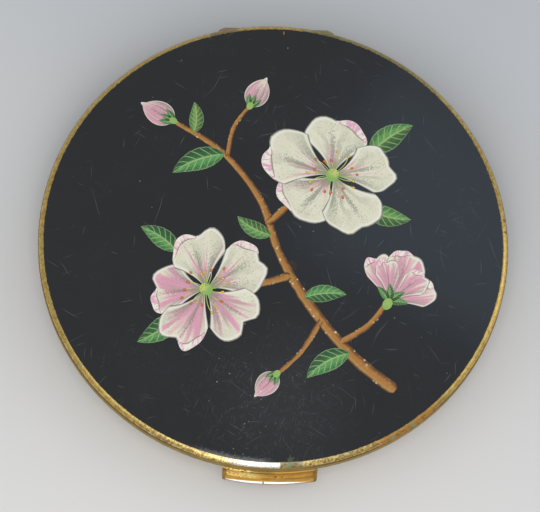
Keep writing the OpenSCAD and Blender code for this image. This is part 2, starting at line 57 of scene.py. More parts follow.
# Camera, from the ellipse of the lid's edge, the catch and the hinge in the photograph
CAM_AZIMUTH = -6.2527
CAM_ELEVATION = 70.2822
CAM_ROLL = 7.4465
CAM_DISTANCE = 700.0
CAM_AIM = (-0.5754, -2.1337, 12.0)
CAM_FOCAL_PX = 3968.36
FRAME_W = 540
SENSOR_W = 36.0

# Lamps: name, azimuth from the front and elevation in degrees, distance and size in metres, watts, colour
LAMPS = (
    ("key", -34.0, 60.0, 1.3, (1.7, 1.3), 4.2, (1.0, 0.985, 0.96)),
    ("top", -6.0, 72.0, 1.3, (0.5, 0.4), 3.8, (1.0, 0.99, 0.97)),
    ("fill", 62.0, 48.0, 1.2, (1.2, 1.2), 2.1, (1.0, 0.99, 0.97)),
    ("front", -6.0, 36.0, 0.7, (0.30, 0.62), 1.25, (1.0, 0.98, 0.95)),
    ("side", 101.0, 13.0, 0.8, (0.35, 0.30), 0.33, (1.0, 0.98, 0.95)),
    ("ceiling", 152.5, 67.0, 1.1, (0.24, 0.16), 0.08, (0.50, 0.74, 1.0)),
)
SKY = (0.93, 0.96, 1.0, 1.0)
SKY_LEVEL = 0.46

# The floor's half width and its drop below the case in mm, which keeps the two faces apart
FLOOR_HALF = 3000.0
FLOOR_DROP = 0.01

# What the wear keeps to: the top of the lid's wall, the enamel's seam, the ears of the hinge, and the
# catch's half width, bead and lip
WALL_TOP = 12.87
SEAM_Z = 13.5
EAR_Y = 40.35
EAR_TOP = 12.3
CATCH_HALF = 8.25
BEAD_Z = 10.33
BEAD_R = 41.0
LIP_R = 43.0

# Single marks of age, placed one by one. Those on the rim and the enamel are x, y and radius, the stains by
# the hinge x, y and colour, and the pits in the catch x, z and radius, at CATCH_PIT_R from the case's middle.
# The dull and the brown stretch of the rim are points that they spread from, and the tick is a point in plan.
DULL_BACK = (18.0, 37.5, 13.0)
BROWN_FRONT = (25.0, -32.6, 13.0)
TARNISH = (23.5, -33.0, 8.0)
FAINT_NICK = (0.05, -41.05, 0.22)
ENAMEL_STAIN = (2.8, -5.0, 1.5)
ENAMEL_GREEN = (3.4, -40.0, 0.7)
TICK = (1.3, 39.85)
LIP_NICK_X = -1.09
EAR_STAINS = ((-9.6, 40.1, (0.31, 0.20, 0.11)), (9.4, 40.0, (0.28, 0.25, 0.11)))
GREEN_MARKS = ((3.3, -40.8, 0.7), (24.6, -32.9, 0.7), (21.2, -35.3, 0.6), (-33.4, -23.8, 0.5))
RIM_NICKS = ((40.8, 5.3, 0.42), (41.0, 3.05, 0.36))
CATCH_PITS = ((1.03, 9.27, 0.26), (2.09, 9.3, 0.2), (-1.5, 9.7, 0.2), (-3.4, 9.75, 0.24), (-0.3, 9.05, 0.16))
CATCH_PIT_R = 41.9

# The printed spray: twigs as their points and their half widths at both ends, and leaves as x, y, heading,
# length, width and bend
TWIGS = (
    ([(21.5, -27.0), (14.0, -21.0), (6.5, -12.0), (1.0, -2.5), (-2.5, 7.5), (-9.5, 16.5), (-18.0, 22.0)],
     1.15, 0.42),
    ([(-1.2, 3.0), (3.5, 7.5), (9.0, 11.0)], 0.7, 0.5),
    ([(3.0, -6.5), (-4.0, -8.5), (-10.0, -8.5)], 0.75, 0.5),
    ([(12.0, -18.5), (17.0, -15.0), (20.5, -10.0)], 0.65, 0.45),
    ([(-8.5, 15.5), (-7.5, 21.0), (-5.0, 25.0)], 0.5, 0.32),
    ([(8.5, -14.5), (5.0, -20.5), (1.0, -24.5)], 0.55, 0.35),
)
LEAVES = (
    (-9.0, 16.0, 196, 10.0, 4.2, 0.6), (17.0, 17.0, 42, 9.5, 4.4, -0.5), (16.0, 6.5, -18, 8.5, 3.8, 0.5),
    (-16.5, -14.0, 222, 9.0, 4.0, -0.5), (-17.0, -2.5, 140, 8.0, 3.6, 0.5),
    (13.5, -20.5, 205, 9.0, 3.8, 0.7), (5.5, -10.5, 12, 7.5, 3.2, -0.6), (-14.5, 20.0, 84, 6.0, 2.6, 0.6),
    (-0.5, 1.0, 158, 7.0, 3.0, -0.7),
)
SPRAY_SEED = 12
PRINT_ATTRIBUTES = ("along", "across", "tint", "kind")

# Puff and ribbon: the room that the puff leaves to its CAD solid, how far its crown falls to the edge, the
# groove at its waist as depth and height, the ribbon's thickness, corded edge and ripple, and its stitches
PUFF_GAP = 0.02
PUFF_CROWN = 0.38
PUFF_GROOVE = ((0.06, -0.22), (0.26, -0.08), (0.28, 0.0), (0.26, 0.08), (0.06, 0.22))
RIBBON_THICK = 0.05
RIBBON_CORD = 0.035
RIBBON_RIPPLE = 0.018
STITCH_Y = (-3.9, -2.34, -0.78, 0.78, 2.34, 3.9)
STITCH_HALF = (0.16, 0.52, 0.07)
STITCH_INSET = 2.0


def crown_z(x, y):
    """Height of the enamel's surface."""
    return EDGE_Z + math.sqrt(SPHERE_R ** 2 - x * x - y * y) - (SPHERE_R - CROWN)


class Value:
    """A socket of a material's graph. Values add, subtract and multiply as numbers do, and a | b is the
    larger of the two."""

    def __init__(self, graph, socket):
        self.graph, self.socket = graph, socket

    def __add__(self, other):
        return self.graph.math("ADD", self, other)

    def __sub__(self, other):
        return self.graph.math("SUBTRACT", self, other)

    def __rsub__(self, other):
        return self.graph.math("SUBTRACT", other, self)

    def __mul__(self, other):
        return self.graph.math("MULTIPLY", self, other)

    def __or__(self, other):
        return self.graph.math("MAXIMUM", self, other)

    def __abs__(self):
        return self.graph.math("ABSOLUTE", self)

    __radd__, __rmul__ = __add__, __mul__

    def step(self, low, high):
        """0 below low and 1 above high, with a soft change. Where low is the larger, 1 below and 0 above."""
        ends = {"From Min": low, "From Max": high, "To Min": 0.0, "To Max": 1.0}
        if low > high:
            ends = {"From Min": high, "From Max": low, "To Min": 1.0, "To Max": 0.0}
        node = self.graph.node("MapRange", {"Value": self, **ends}, interpolation_type="SMOOTHSTEP")
        return Value(self.graph, node.outputs[0])

    def between(self, start, full, last, end):
        """Rises to 1 from start to full, and falls to 0 from last to end."""
        return self.step(start, full) * self.step(end, last)


class Graph:
    """Short calls that make and join the nodes of one material. Lengths are in mm, and a tone is its red,
    green and blue."""

    def __init__(self, name):
        self.material = bpy.data.materials.new(name)
        self.material.use_nodes = True
        self.tree = self.material.node_tree
        self.tree.nodes.clear()
        self.colour = None
        self.shader = self.node("BsdfPrincipled")
        self.node("OutputMaterial", {0: self.shader.outputs[0]})
        self.at = self.vector("SCALE", self.node("TexCoord").outputs["Object"], scale=1 / MM)
        self.axes = self.xyz(self.at)

    def put(self, socket, value):
        if isinstance(value, Value):
            value = value.socket
        if isinstance(value, bpy.types.NodeSocket):
            self.tree.links.new(value, socket)
        else:
            socket.default_value = (*value, 1.0) if socket.type == "RGBA" else value

    def node(self, kind, inputs=None, **settings):
        """A node with its settings and inputs. An input that is None keeps its own value."""
        node = self.tree.nodes.new("ShaderNode" + kind)
        for name, value in settings.items():
            setattr(node, name, value)
        for key, value in (inputs or {}).items():
            if value is not None:
                self.put(node.inputs[key], value)
        return node

    def vector(self, operation, a, b=None, scale=None):
        node = self.node("VectorMath", {0: a, 1: b, "Scale": scale}, operation=operation)
        return Value(self, node.outputs["Value" if operation == "DISTANCE" else 0])

    def math(self, operation, a, b=None):
        return Value(self, self.node("Math", {0: a, 1: b}, operation=operation).outputs[0])

    def mix(self, factor, a, b):
        return Value(self, self.node("Mix", {0: factor, 6: a, 7: b}, data_type="RGBA").outputs[2])

    def paint(self, mask, tone):
        """Lays a tone over the colour so far."""
        self.colour = self.mix(mask, self.colour, tone)

    def noise(self, scale, detail=2.0, rough=0.5, distortion=0.0, at=None):
        settings = {"Scale": scale, "Detail": detail, "Roughness": rough, "Distortion": distortion}
        return Value(self, self.node("TexNoise", {"Vector": at or self.at, **settings}).outputs[0])

    def cell_pair(self, vector, scale):
        """Distance to the nearest cell's point, and that cell's two random numbers."""
        node = self.node("TexVoronoi", {"Vector": vector, "Scale": scale})
        chance, bright, _ = self.xyz(node.outputs["Color"])
        return Value(self, node.outputs["Distance"]), chance, bright

    def xyz(self, vector):
        return [Value(self, socket) for socket in self.node("SeparateXYZ", {0: vector}).outputs]

    def join(self, x, y, z=0.0):
        return Value(self, self.node("CombineXYZ", {0: x, 1: y, 2: z}).outputs[0])

    def attribute(self, name):
        return Value(self, self.node("Attribute", attribute_name=name).outputs["Fac"])

    def turned(self, vector, angle, size, shift):
        """The vector in a frame turned about z by angle, in units of size."""
        place = {"Location": shift, "Rotation": (0.0, 0.0, angle), "Scale": size}
        node = self.node("Mapping", {"Vector": vector, **place}, vector_type="TEXTURE")
        return Value(self, node.outputs[0])

    def plan_r(self):
        """Distance from the upright axis through the case's middle."""
        x, y, _ = self.axes
        return self.math("SQRT", x * x + y * y)

    def away(self, x, y, z=None):
        """Distance from a point, or from the upright line at x and y where there is no z."""
        here = self.join(*self.axes[:2]) if z is None else self.at
        return self.vector("DISTANCE", here, (x, y, z or 0.0))

    def spot(self, x, y, radius, ragged=0.35, z=None):
        """A soft spot about a point or an upright line, with an uneven edge."""
        wobble = (self.noise(1.6 / radius, 3.0) - 0.5) * (2 * ragged * radius)
        return (self.away(x, y, z) + wobble).step(radius, 0.45 * radius)

    def any_spot(self, marks, ragged):
        """Spots at several places, each as x, y and radius."""
        spots = [self.spot(x, y, radius, ragged) for x, y, radius in marks]
        return functools.reduce(Value.__or__, spots)

    def finish(self, rough, metal, heights=(), **constants):
        """heights are (height, distance in mm, strength) of the bumps, from coarse to fine."""
        values = {"Base_Color": self.colour, "Roughness": rough, "Metallic": metal, **constants}
        for name, value in values.items():
            self.put(self.shader.inputs[name.replace("_", " ")], value)
        normal = None
        for height, distance, strength in heights:
            bump = {"Strength": strength, "Distance": distance * MM, "Height": height, "Normal": normal}
            normal = self.node("Bump", bump).outputs[0]
        if normal:
            self.put(self.shader.inputs["Normal"], normal)
        return self.material


def hairlines(g, layers, length, width, share, seed, where=None):
    """Mask of short scratches in several directions. share is the share of cells that hold one, and where is
    a mask that lets more of them through."""
    x, y, _ = g.axes
    bend = (g.noise(0.1, 1.0) - 0.5) * 4.5
    flat = g.join(x + bend, y - bend)
    rng = random.Random(seed)
    total = None
    for i in range(layers):
        angle = math.pi * (i + rng.uniform(0.1, 0.9)) / layers
        stretch = rng.uniform(0.7, 1.4)
        vector = g.turned(flat, angle, (length * stretch, width, 1.0),
                          (rng.uniform(-9, 9), rng.uniform(-9, 9), 0.0))
        away, chance, bright = g.cell_pair(vector, 1.0)
        line = away.step(0.17, 0.03)
        keep = chance.step(1.0 - share - 0.01, 1.0 - share + 0.01)
        if where is not None:
            keep = keep * (bright + where).step(0.75, 0.8)
        line = line * keep * (bright * 0.7 + 0.3)
        total = line if total is None else total | line
    return total


def specks(g, scale, share, size):
    """Mask of small scattered dots."""
    x, y, _ = g.axes
    away, chance, bright = g.cell_pair(g.join(x, y), scale)
    dot = away.step(size, 0.4 * size)
    return dot * chance.step(1.0 - share, 1.0 - share + 0.01) * (bright * 0.6 + 0.4)


def bevel_gilt(g, fine, brushed):
    """The bright gilding of the rim's bevel, dulled at the back right and stained by the hinge's ears."""
    gilt = g.mix(fine.step(0.35, 0.68), (0.6, 0.38, 0.1), (0.87, 0.63, 0.205))
    gilt = g.mix(brushed.step(0.5, 0.68) * 0.35, gilt, (0.5, 0.33, 0.1))
    dull_back = g.away(*DULL_BACK).step(19.0, 6.0)
    gilt = g.mix(dull_back * 0.68, gilt, (0.25, 0.225, 0.12))
    for x, y, stain in EAR_STAINS:
        gilt = g.mix(g.spot(x, y, 3.6, 0.8) * 0.8, gilt, stain)
    return gilt


def wall_olive(g, brushed):
    """The olive tarnish of the walls and the underside."""
    cloud = g.noise(0.35, 4.0, 0.6)
    olive = g.mix(cloud.step(0.25, 0.75), (0.24, 0.165, 0.045), (0.37, 0.27, 0.08))
    olive = g.mix(brushed.step(0.42, 0.7) * 0.4, olive, (0.5, 0.38, 0.13))
    return g.mix(g.noise(0.16, 5.0, 0.7).step(0.52, 0.7) * 0.45, olive, (0.16, 0.105, 0.03))


def flecked(g, flecks, high, front):
    """Pale and dark flecks in the bevel's gilding, strongest at the front."""
    pale = flecks.step(0.505, 0.545) * (0.2 + front * 0.8)
    dark = flecks.step(0.475, 0.43) * (0.08 + front * 0.92)
    g.paint(dark * 0.85 * high, (0.21, 0.13, 0.035))
    g.paint(pale * 0.8 * high, (0.9, 0.75, 0.34))


def front_wear(g, fine, flecks, ragged, high):
    """The front of the rim: rubbed to pale metal over the catch, partly as a painted highlight, mottled and
    partly painted shade on both sides, grey to its right. Gives the masks of the rubbed and the grey stretch."""
    x, y, z = g.axes
    # Partly wear and partly a painted highlight: pale metal over the catch, its tone going from yellow to
    # white
    rubbed = (x + (flecks - 0.5) * 24.0).step(-10.5, -4.5) * (x + ragged * 1.2).step(1.9, 1.4)
    rubbed = rubbed * y.step(-38.6, -39.4) * (z + ragged * 0.7).step(WALL_TOP - 0.03, WALL_TOP + 0.09)
    rubbed = rubbed * g.noise(2.2, 4.0, 0.7).step(0.68, 0.62)
    bare = g.mix(x.step(-8.5, -4.0), (0.86, 0.73, 0.38), (0.86, 0.85, 0.82))
    g.paint(rubbed * 0.92, bare)
    # Partly mottled tarnish and partly painted shade: darkens the bevel on both sides of the front, against
    # the front lamp's reflection
    mottled = x.between(9.0, 15.0, 28.0, 33.0) | x.between(-26.0, -20.0, -12.5, -9.5) * 0.6
    mottled = mottled * (y.step(-26.0, -30.0) * high)
    g.paint(mottled * (0.25 + fine.step(0.55, 0.42) * 0.5), (0.34, 0.23, 0.075))
    grey = x.step(1.5, 1.8) * (x + ragged * 2.0).step(6.4, 5.2) * (y.step(-39.0, -39.6) * high)
    grey_tone = g.mix(fine.step(0.4, 0.62), (0.13, 0.11, 0.06), (0.36, 0.315, 0.195))
    g.paint(grey * 0.85, grey_tone)
    seam = (z + ragged * 0.12).step(SEAM_Z - 0.04, SEAM_Z + 0.05) * y.step(-36.5, -39.0)
    g.paint(seam * 0.6, (0.26, 0.235, 0.19))
    return rubbed, grey


def corroded(g, fine, ragged, high):
    """Brown tarnish at the front right, green marks and dark nicks. Gives how dull they leave the metal."""
    _, _, z = g.axes
    top = (z + ragged * 1.6).step(11.9, 12.6)
    brown = g.away(*BROWN_FRONT).step(11.0, 5.0) * high
    g.paint(brown * 0.5, (0.33, 0.2, 0.055))
    tarnish = g.spot(*TARNISH) * fine.step(0.4, 0.55) * top
    g.paint(tarnish * 0.75, (0.46, 0.19, 0.035))
    green = g.any_spot(GREEN_MARKS, 0.9) * top
    g.paint(green * 0.7, (0.15, 0.19, 0.09))
    nick = (g.any_spot(RIM_NICKS, 0.6) | g.spot(*FAINT_NICK, 0.6) * 0.7) * top
    g.paint(nick * 0.8, (0.05, 0.035, 0.02))
    return green | nick | tarnish * 0.4


def worn_gilt():
    """Thin old gilding on brass: pitted and rubbed on the bevel, tarnished olive and brushed below."""
    g = Graph("worn_gilt_brass_looks")
    x, y, z = g.axes
    fine = g.noise(1.4, 4.0, 0.65)
    grain = g.noise(7.0, 3.0, 0.7)
    flecks = g.noise(2.5, 4.0, 0.78)
    ragged = g.noise(1.1, 5.0, 0.75) - 0.5
    around = g.math("ARCTAN2", x, y * -1.0) * CASE_R
    brushed = g.noise(1.0, 4.0, 0.65, at=g.join(around * 0.35, z * 5.0, g.plan_r() * 5.0))
    low = (z + (fine - 0.5) * 0.35).step(WALL_TOP + 0.06, WALL_TOP - 0.07)
    high = 1.0 - low
    front = y.step(-30.0, -37.0)
    g.colour = g.mix(low * 0.92, bevel_gilt(g, fine, brushed), wall_olive(g, brushed))
    # Painted shade: the rim is dulled a little towards the case's left side
    left = (x + g.noise(0.09, 3.0) * 14.0).step(26.0, -22.0)
    g.paint(left * 0.12, (0.42, 0.31, 0.09))
    # Painted shade: a dark band along the bevel's lower edge stands for the wall in shade, weaker in the
    # middle of the front
    shaded_lower_edge = (z + ragged * 0.15).step(WALL_TOP + 0.11, WALL_TOP - 0.11) * z.step(12.1, 12.5)
    middle = front * abs(x + 3.0).step(13.0, 8.0)
    shaded_lower_edge = shaded_lower_edge * (1.0 - middle * 0.75)
    g.paint(shaded_lower_edge * 0.8, (0.15, 0.08, 0.025))
    flecked(g, flecks, high, front)
    pits, chance, _ = g.cell_pair(g.at, 2.6)
    pit = pits.step(0.3, 0.14) * chance.step(0.45, 0.6)
    pit_here = pit * (0.35 + front * 0.5) * (1.0 - low * 0.75)
    g.paint(pit_here, (0.12, 0.075, 0.025))
    rubbed, grey = front_wear(g, fine, flecks, ragged, high)
    dull = corroded(g, fine, ragged, high)
    # Painted light: the ears' tone is lifted paler against the shade that falls on them
    ear = y.step(EAR_Y, EAR_Y + 0.25) * z.step(EAR_TOP, EAR_TOP - 0.1)
    lifted_ear_tone = g.mix(x.step(-3.0, 3.0), (0.5, 0.37, 0.25), (0.44, 0.42, 0.19))
    g.paint(ear * (0.45 + fine.step(0.4, 0.6) * 0.45), lifted_ear_tone)
    rough = 0.2 + fine * 0.16 + low * 0.2 + grey * 0.25
    rough = rough + brushed * low * 0.14 + pit_here * 0.2 - rubbed * 0.06
    relief = fine * 0.6 - pit * (0.8 + front * 0.9)
    relief = relief * (1.0 - low * 0.8)
    bumps = [(relief, 0.05, 0.45), (brushed * low, 0.02, 0.35), (grain, 0.012, 0.35)]
    return g.finish(rough, 1.0 - dull * 0.8, bumps)


def catch_bead(g, fine, flecks):
    """The catch's top bead: flecked painted highlight at the left, brown at the right, painted shade under
    it.
    """
    x, _, z = g.axes
    # Painted shadow under the bead, left out at the bead's left
    under = z.between(BEAD_Z - 0.17, BEAD_Z - 0.09, BEAD_Z - 0.03, BEAD_Z + 0.03) * x.step(-5.5, -2.5)
    g.paint(under * 0.6, (0.16, 0.09, 0.025))
    bead = z.step(BEAD_Z - 0.05, BEAD_Z + 0.05) * g.plan_r().step(BEAD_R, BEAD_R + 0.3)
    # Painted highlight: flecked bright gilding on the bead's left, brown to its right
    left = g.mix(flecks.step(0.44, 0.54), (0.22, 0.12, 0.035), (0.88, 0.64, 0.22))
    right = g.mix(x.step(-0.5, 1.5), (0.2, 0.14, 0.05), (0.4, 0.225, 0.06))
    tone = g.mix((x + (fine - 0.5) * 6.0).step(-5.0, -1.5), left, right)
    g.paint(bead * 0.9, tone)


def catch_lip(g, fine):
    """Mask and tone of the catch's lip, rubbed to pale metal, narrower and yellower to the right."""
    x, _, z = g.axes
    r, side = g.plan_r(), abs(x)
    narrowing = x * x * -0.0035 + x.step(2.5, 8.0) * -0.1
    lip = (r + narrowing + (fine - 0.5) * 0.12).step(LIP_R - 0.43, LIP_R - 0.34)
    lip = lip * (1.0 - r.step(LIP_R - 0.1, LIP_R - 0.05) * 0.75)
    lip = lip | side.step(CATCH_HALF - 0.13, CATCH_HALF - 0.03) * z.step(8.75, 8.5)
    tone = g.mix(x.step(3.6, 6.4), (0.6, 0.565, 0.58), (0.5, 0.43, 0.32))
    return lip, g.mix(side.step(6.2, 8.1), tone, (0.24, 0.235, 0.22))


def catch_gilt():
    """Warm gilding on the catch, with painted shade at the cove's foot and a painted highlight on the cove's
    left, darker at its ends, and rubbed to pale metal on the lip.
    """
    g = Graph("catch_gilt_looks")
    x, _, z = g.axes
    fine = g.noise(1.8, 4.0, 0.65)
    flecks = g.noise(2.6, 3.0, 0.7)
    drawn = g.noise(1.0, 3.0, 0.6, at=g.vector("MULTIPLY", g.at, (0.5, 3.0, 7.0)))
    grain = g.noise(9.0, 3.0, 0.7)
    g.colour = g.mix(fine.step(0.3, 0.7), (0.6, 0.32, 0.058), (0.83, 0.475, 0.108))
    g.paint(drawn.step(0.42, 0.72) * 0.5, (0.37, 0.19, 0.035))
    # Painted shade: the cove's foot by the lip is darkened, which keeps the front lamp's reflection off it
    shaded_foot = z.step(9.18, 8.94) * (0.75 + drawn.step(0.3, 0.6) * 0.25)
    g.paint(shaded_foot * 0.88, (0.24, 0.135, 0.035))
    # Painted highlight: a flecked bright yellow streak on the cove's left
    bright = (x + (flecks - 0.5) * 7.0).step(-0.4, -3.4) * flecks.step(0.38, 0.54)
    bright = bright * (x.step(-7.9, -7.2) * z.step(10.3, 9.9)) * z.step(8.84, 8.95)
    highlight_tone = g.mix(z.step(9.3, 9.0), (0.99, 0.86, 0.33), (0.9, 0.64, 0.17))
    g.paint(bright * 0.95, highlight_tone)
    catch_bead(g, fine, flecks)
    cheek_tone = g.mix(fine.step(0.4, 0.6), (0.16, 0.1, 0.035), (0.34, 0.23, 0.08))
    g.paint(abs(x).step(CATCH_HALF - 0.7, CATCH_HALF - 0.45) * 0.75, cheek_tone)
    lip, lip_tone = catch_lip(g, fine)
    g.paint(lip * 0.95, lip_tone)
    pits, chance, _ = g.cell_pair(g.at, 3.0)
    pit = pits.step(0.26, 0.12) * chance.step(0.72, 0.8) * (1.0 - lip)
    for px, pz, size in CATCH_PITS:
        pit = pit | g.spot(px, -math.sqrt(CATCH_PIT_R ** 2 - px * px), size, 0.3, pz)
    g.paint(pit * 0.8, (0.07, 0.04, 0.015))
    nick = abs(x - LIP_NICK_X).step(0.17, 0.1) * lip
    g.paint(nick, (0.07, 0.05, 0.045))
    rough = 0.42 + fine * 0.2 - lip * 0.1
    return g.finish(rough, 1.0, [(fine, 0.03, 0.3), (drawn, 0.02, 0.35), (grain, 0.01, 0.3)])


def inner_gilt():
    """Clean satin gilding with the fine rings that turning leaves, a little powder dust and rubbing."""
    g = Graph("inner_gilt_looks")
    rings = g.noise(1.0, 3.0, 0.7, at=g.join(g.plan_r() * 9.0, 0.0))
    fine = g.noise(0.5, 4.0, 0.6)
    grain = g.noise(8.0, 2.0, 0.6)
    line = hairlines(g, 3, length=9.0, width=0.45, share=0.25, seed=31)
    g.colour = g.mix(fine, (0.76, 0.6, 0.3), (0.88, 0.73, 0.42))
    g.paint(rings.step(0.35, 0.75) * 0.25, (0.62, 0.46, 0.2))
    g.paint(line * 0.35, (0.95, 0.88, 0.68))
    dust = g.noise(0.22, 5.0, 0.7).step(0.5, 0.72) * grain.step(0.4, 0.65)
    g.paint(dust * 0.35, (0.84, 0.71, 0.6))
    rough = 0.24 + rings * 0.14 + dust * 0.3
    return g.finish(rough, 1.0 - dust * 0.5, [(rings, 0.02, 0.35), (grain, 0.008, 0.3)])


def steel():
    """Drawn spring steel with a little rust."""
    g = Graph("spring_steel_looks")
    fine = g.noise(1.3, 4.0, 0.6)
    drawn = g.noise(1.0, 2.0, 0.6, at=g.vector("MULTIPLY", g.at, (0.6, 8.0, 8.0)))
    g.colour = g.mix(fine, (0.42, 0.42, 0.43), (0.66, 0.66, 0.66))
    rust = g.noise(0.8, 5.0, 0.7).step(0.62, 0.75)
    g.paint(rust * 0.5, (0.2, 0.1, 0.05))
    rough = 0.25 + drawn * 0.2 + rust * 0.3
    return g.finish(rough, 1.0, [(drawn, 0.015, 0.4), (fine, 0.02, 0.3)])


def enamel_wear(g):
    """The wear that runs over the enamel and its print alike: masks of long and short hairlines and of dust,
    and how busy with wear a place is."""
    near = g.away(-1.0, -30.0).step(20.0, 5.0)
    rubs = near * 0.6 + g.noise(0.12, 3.0, 0.7) * 0.6
    busy = near * 0.45 + g.noise(0.06, 2.0) * 0.9
    long_lines = hairlines(g, 5, length=19.0, width=0.32, share=0.045, seed=5, where=busy)
    short_lines = hairlines(g, 6, length=8.0, width=0.25, share=0.11, seed=11, where=busy)
    fine_rubs = hairlines(g, 5, length=4.2, width=0.18, share=0.5, seed=23) * rubs.step(0.4, 0.9)
    coarse_dust = specks(g, scale=0.42, share=0.26, size=0.06)
    fine_dust = specks(g, scale=1.1, share=0.34, size=0.11) * rubs.step(0.3, 0.8)
    return long_lines, short_lines | fine_rubs, coarse_dust | fine_dust, busy


def bare_enamel(g, lint, busy):
    """Near-black enamel under its scratches: a faint cloud, haze and lint towards the front, and smudges.
    Gives the cloud and the haze."""
    x, y, _ = g.axes
    cloud = g.noise(0.07, 4.0, 0.6)
    g.colour = g.mix(cloud, (0.0095, 0.0105, 0.012), (0.015, 0.0165, 0.019))
    haze = g.away(1.0, -29.0).step(17.0, 2.0) * g.noise(0.5, 5.0, 0.7)
    g.paint(haze * 0.045, (0.3, 0.31, 0.33))
    fringe = (g.plan_r() + (lint - 0.5) * 2.2).step(EDGE_R - 0.97, EDGE_R + 0.03)
    fringe = fringe * x.between(-15.0, -8.0, -2.0, 1.0) * y.step(0.0, -30.0)
    g.paint(fringe * 0.26, (0.55, 0.55, 0.56))
    smudge = lint.step(0.54, 0.72) * (g.noise(0.2, 4.0, 0.7) + busy * 0.35).step(0.66, 0.95)
    g.paint(smudge * 0.13, (0.4, 0.42, 0.45))
    return cloud, haze


def black_enamel():
    """Glossy enamel with hairlines, dust, a stain, and gilding where its edge and a small tick are bare."""
    g = Graph("black_enamel_looks")
    long_lines, short_lines, dust, busy = enamel_wear(g)
    x, y, _ = g.axes
    cloud, haze = bare_enamel(g, g.noise(2.2, 5.0, 0.8), busy)
    g.paint(short_lines * 0.26, (0.42, 0.45, 0.48))
    g.paint(long_lines * 0.3, (0.45, 0.48, 0.51))
    g.paint(dust * 0.55, (0.66, 0.63, 0.5))
    g.paint(g.spot(*ENAMEL_STAIN, 0.8) * 0.35, (0.07, 0.035, 0.012))
    edge = (g.plan_r() + (g.noise(1.1, 5.0, 0.75) - 0.5) * 0.5).step(EDGE_R - 0.07, EDGE_R + 0.01)
    tick = abs(x - TICK[0]).step(0.1, 0.05) * abs(y - TICK[1]).step(0.36, 0.22)
    chip = edge | tick
    g.paint(chip, (0.5, 0.37, 0.13))
    g.paint(g.spot(*ENAMEL_GREEN, 1.2) * 0.55, (0.1, 0.13, 0.07))
    rough = 0.07 + cloud * 0.07 + haze * 0.14 + chip * 0.25
    wave = g.noise(0.16, 2.0, 0.5)
    orange_peel = g.noise(1.5, 2.0, 0.5)
    bumps = [(wave, 0.02, 0.25), (orange_peel, 0.002, 0.5), (long_lines | short_lines, -0.006, 0.5)]
    return g.finish(rough, chip * 0.9, bumps)


def printed(name, draw):
    """A material of the print. draw paints it from how far along and across a form a place is, the form's
    tint and its kind, and the enamel's wear goes over it."""
    g = Graph(name)
    draw(g, *(g.attribute(attribute) for attribute in PRINT_ATTRIBUTES))
    long_lines, short_lines, _, _ = enamel_wear(g)
    worn_off = g.noise(3.2, 3.0, 0.8).step(0.7, 0.76) * 0.8
    g.paint(worn_off, (0.03, 0.03, 0.03))
    g.paint((long_lines | short_lines) * 0.35, (0.62, 0.62, 0.58))
    rough = 0.3 + g.noise(2.0, 3.0) * 0.15
    return g.finish(rough, 0.0, [(g.noise(5.0, 3.0), 0.004, 0.5)])


def stipple(g, amount):
    """Engraver's dots that grow closer as amount rises from 0 to 1."""
    grain = g.noise(5.2, 1.0, 0.4)
    return (grain + amount * 0.42).step(0.62, 0.74)


def petal_paint(g, u, v, tint, kind):
    """Cream petal with a pink base and blush, stippled hollows, folds, veins and an inked edge."""
    side = abs(v)
    cream = g.mix(g.noise(0.35, 2.0), (0.62, 0.61, 0.44), (0.76, 0.75, 0.63))
    streak = g.noise(1.0, 3.0, 0.6, at=g.join(v * 7.0, u * 0.8, tint * 40.0))
    pinkness = tint.step(0.15, 0.85)
    reach = 0.28 + pinkness * 0.75
    past = u - (streak - 0.45) * 2.1 - reach
    from_base = past.step(0.0, -0.42)
    g.colour = g.mix(from_base * 0.85, cream, (0.66, 0.25, 0.4))
    g.paint((u + streak * 0.5).step(0.42, 0.16), (0.4, 0.07, 0.17))
    blush = u.step(0.72, 0.98) * streak.step(0.42, 0.66)
    g.paint(blush * (pinkness * 0.7), (0.72, 0.34, 0.47))
    hollow = v.step(-0.35, -1.0) | abs(v - 0.12).step(0.22, 0.0)
    hollow = hollow * u.step(1.0, 0.3) | u.step(0.4, 0.1)
    shade = stipple(g, hollow * 1.15)
    g.paint(shade * 0.62, (0.17, 0.175, 0.13))
    fold = g.math("SINE", v * 7.5 + (g.noise(0.35, 1.0) * 6.0 + tint * 25.0))
    soft = fold.step(0.1, 1.0) * u.step(1.02, 0.45) | v.step(-0.35, -1.0)
    g.paint(soft * 0.42, (0.3, 0.31, 0.23))
    wave = g.math("SINE", v * 17.0 + g.noise(0.9, 1.0) * 3.0)
    vein = wave.step(0.9, 1.0) * u.step(0.95, 0.35)
    g.paint(vein * 0.35, (0.28, 0.27, 0.2))
    turned = g.mix(streak.step(0.4, 0.6), (0.8, 0.78, 0.68), (0.7, 0.36, 0.48))
    turned = g.mix(u.step(0.25, 0.0), turned, (0.2, 0.17, 0.13))
    g.paint(kind.step(0.4, 0.6), turned)
    edge = side.step(0.86, 0.93) | u.step(0.92, 0.955)
    g.paint(edge * 0.8, (0.76, 0.76, 0.66))
    ink = side.step(0.955, 0.985) | u.step(0.972, 0.988)
    g.paint(ink * 0.8, (0.12, 0.115, 0.09))


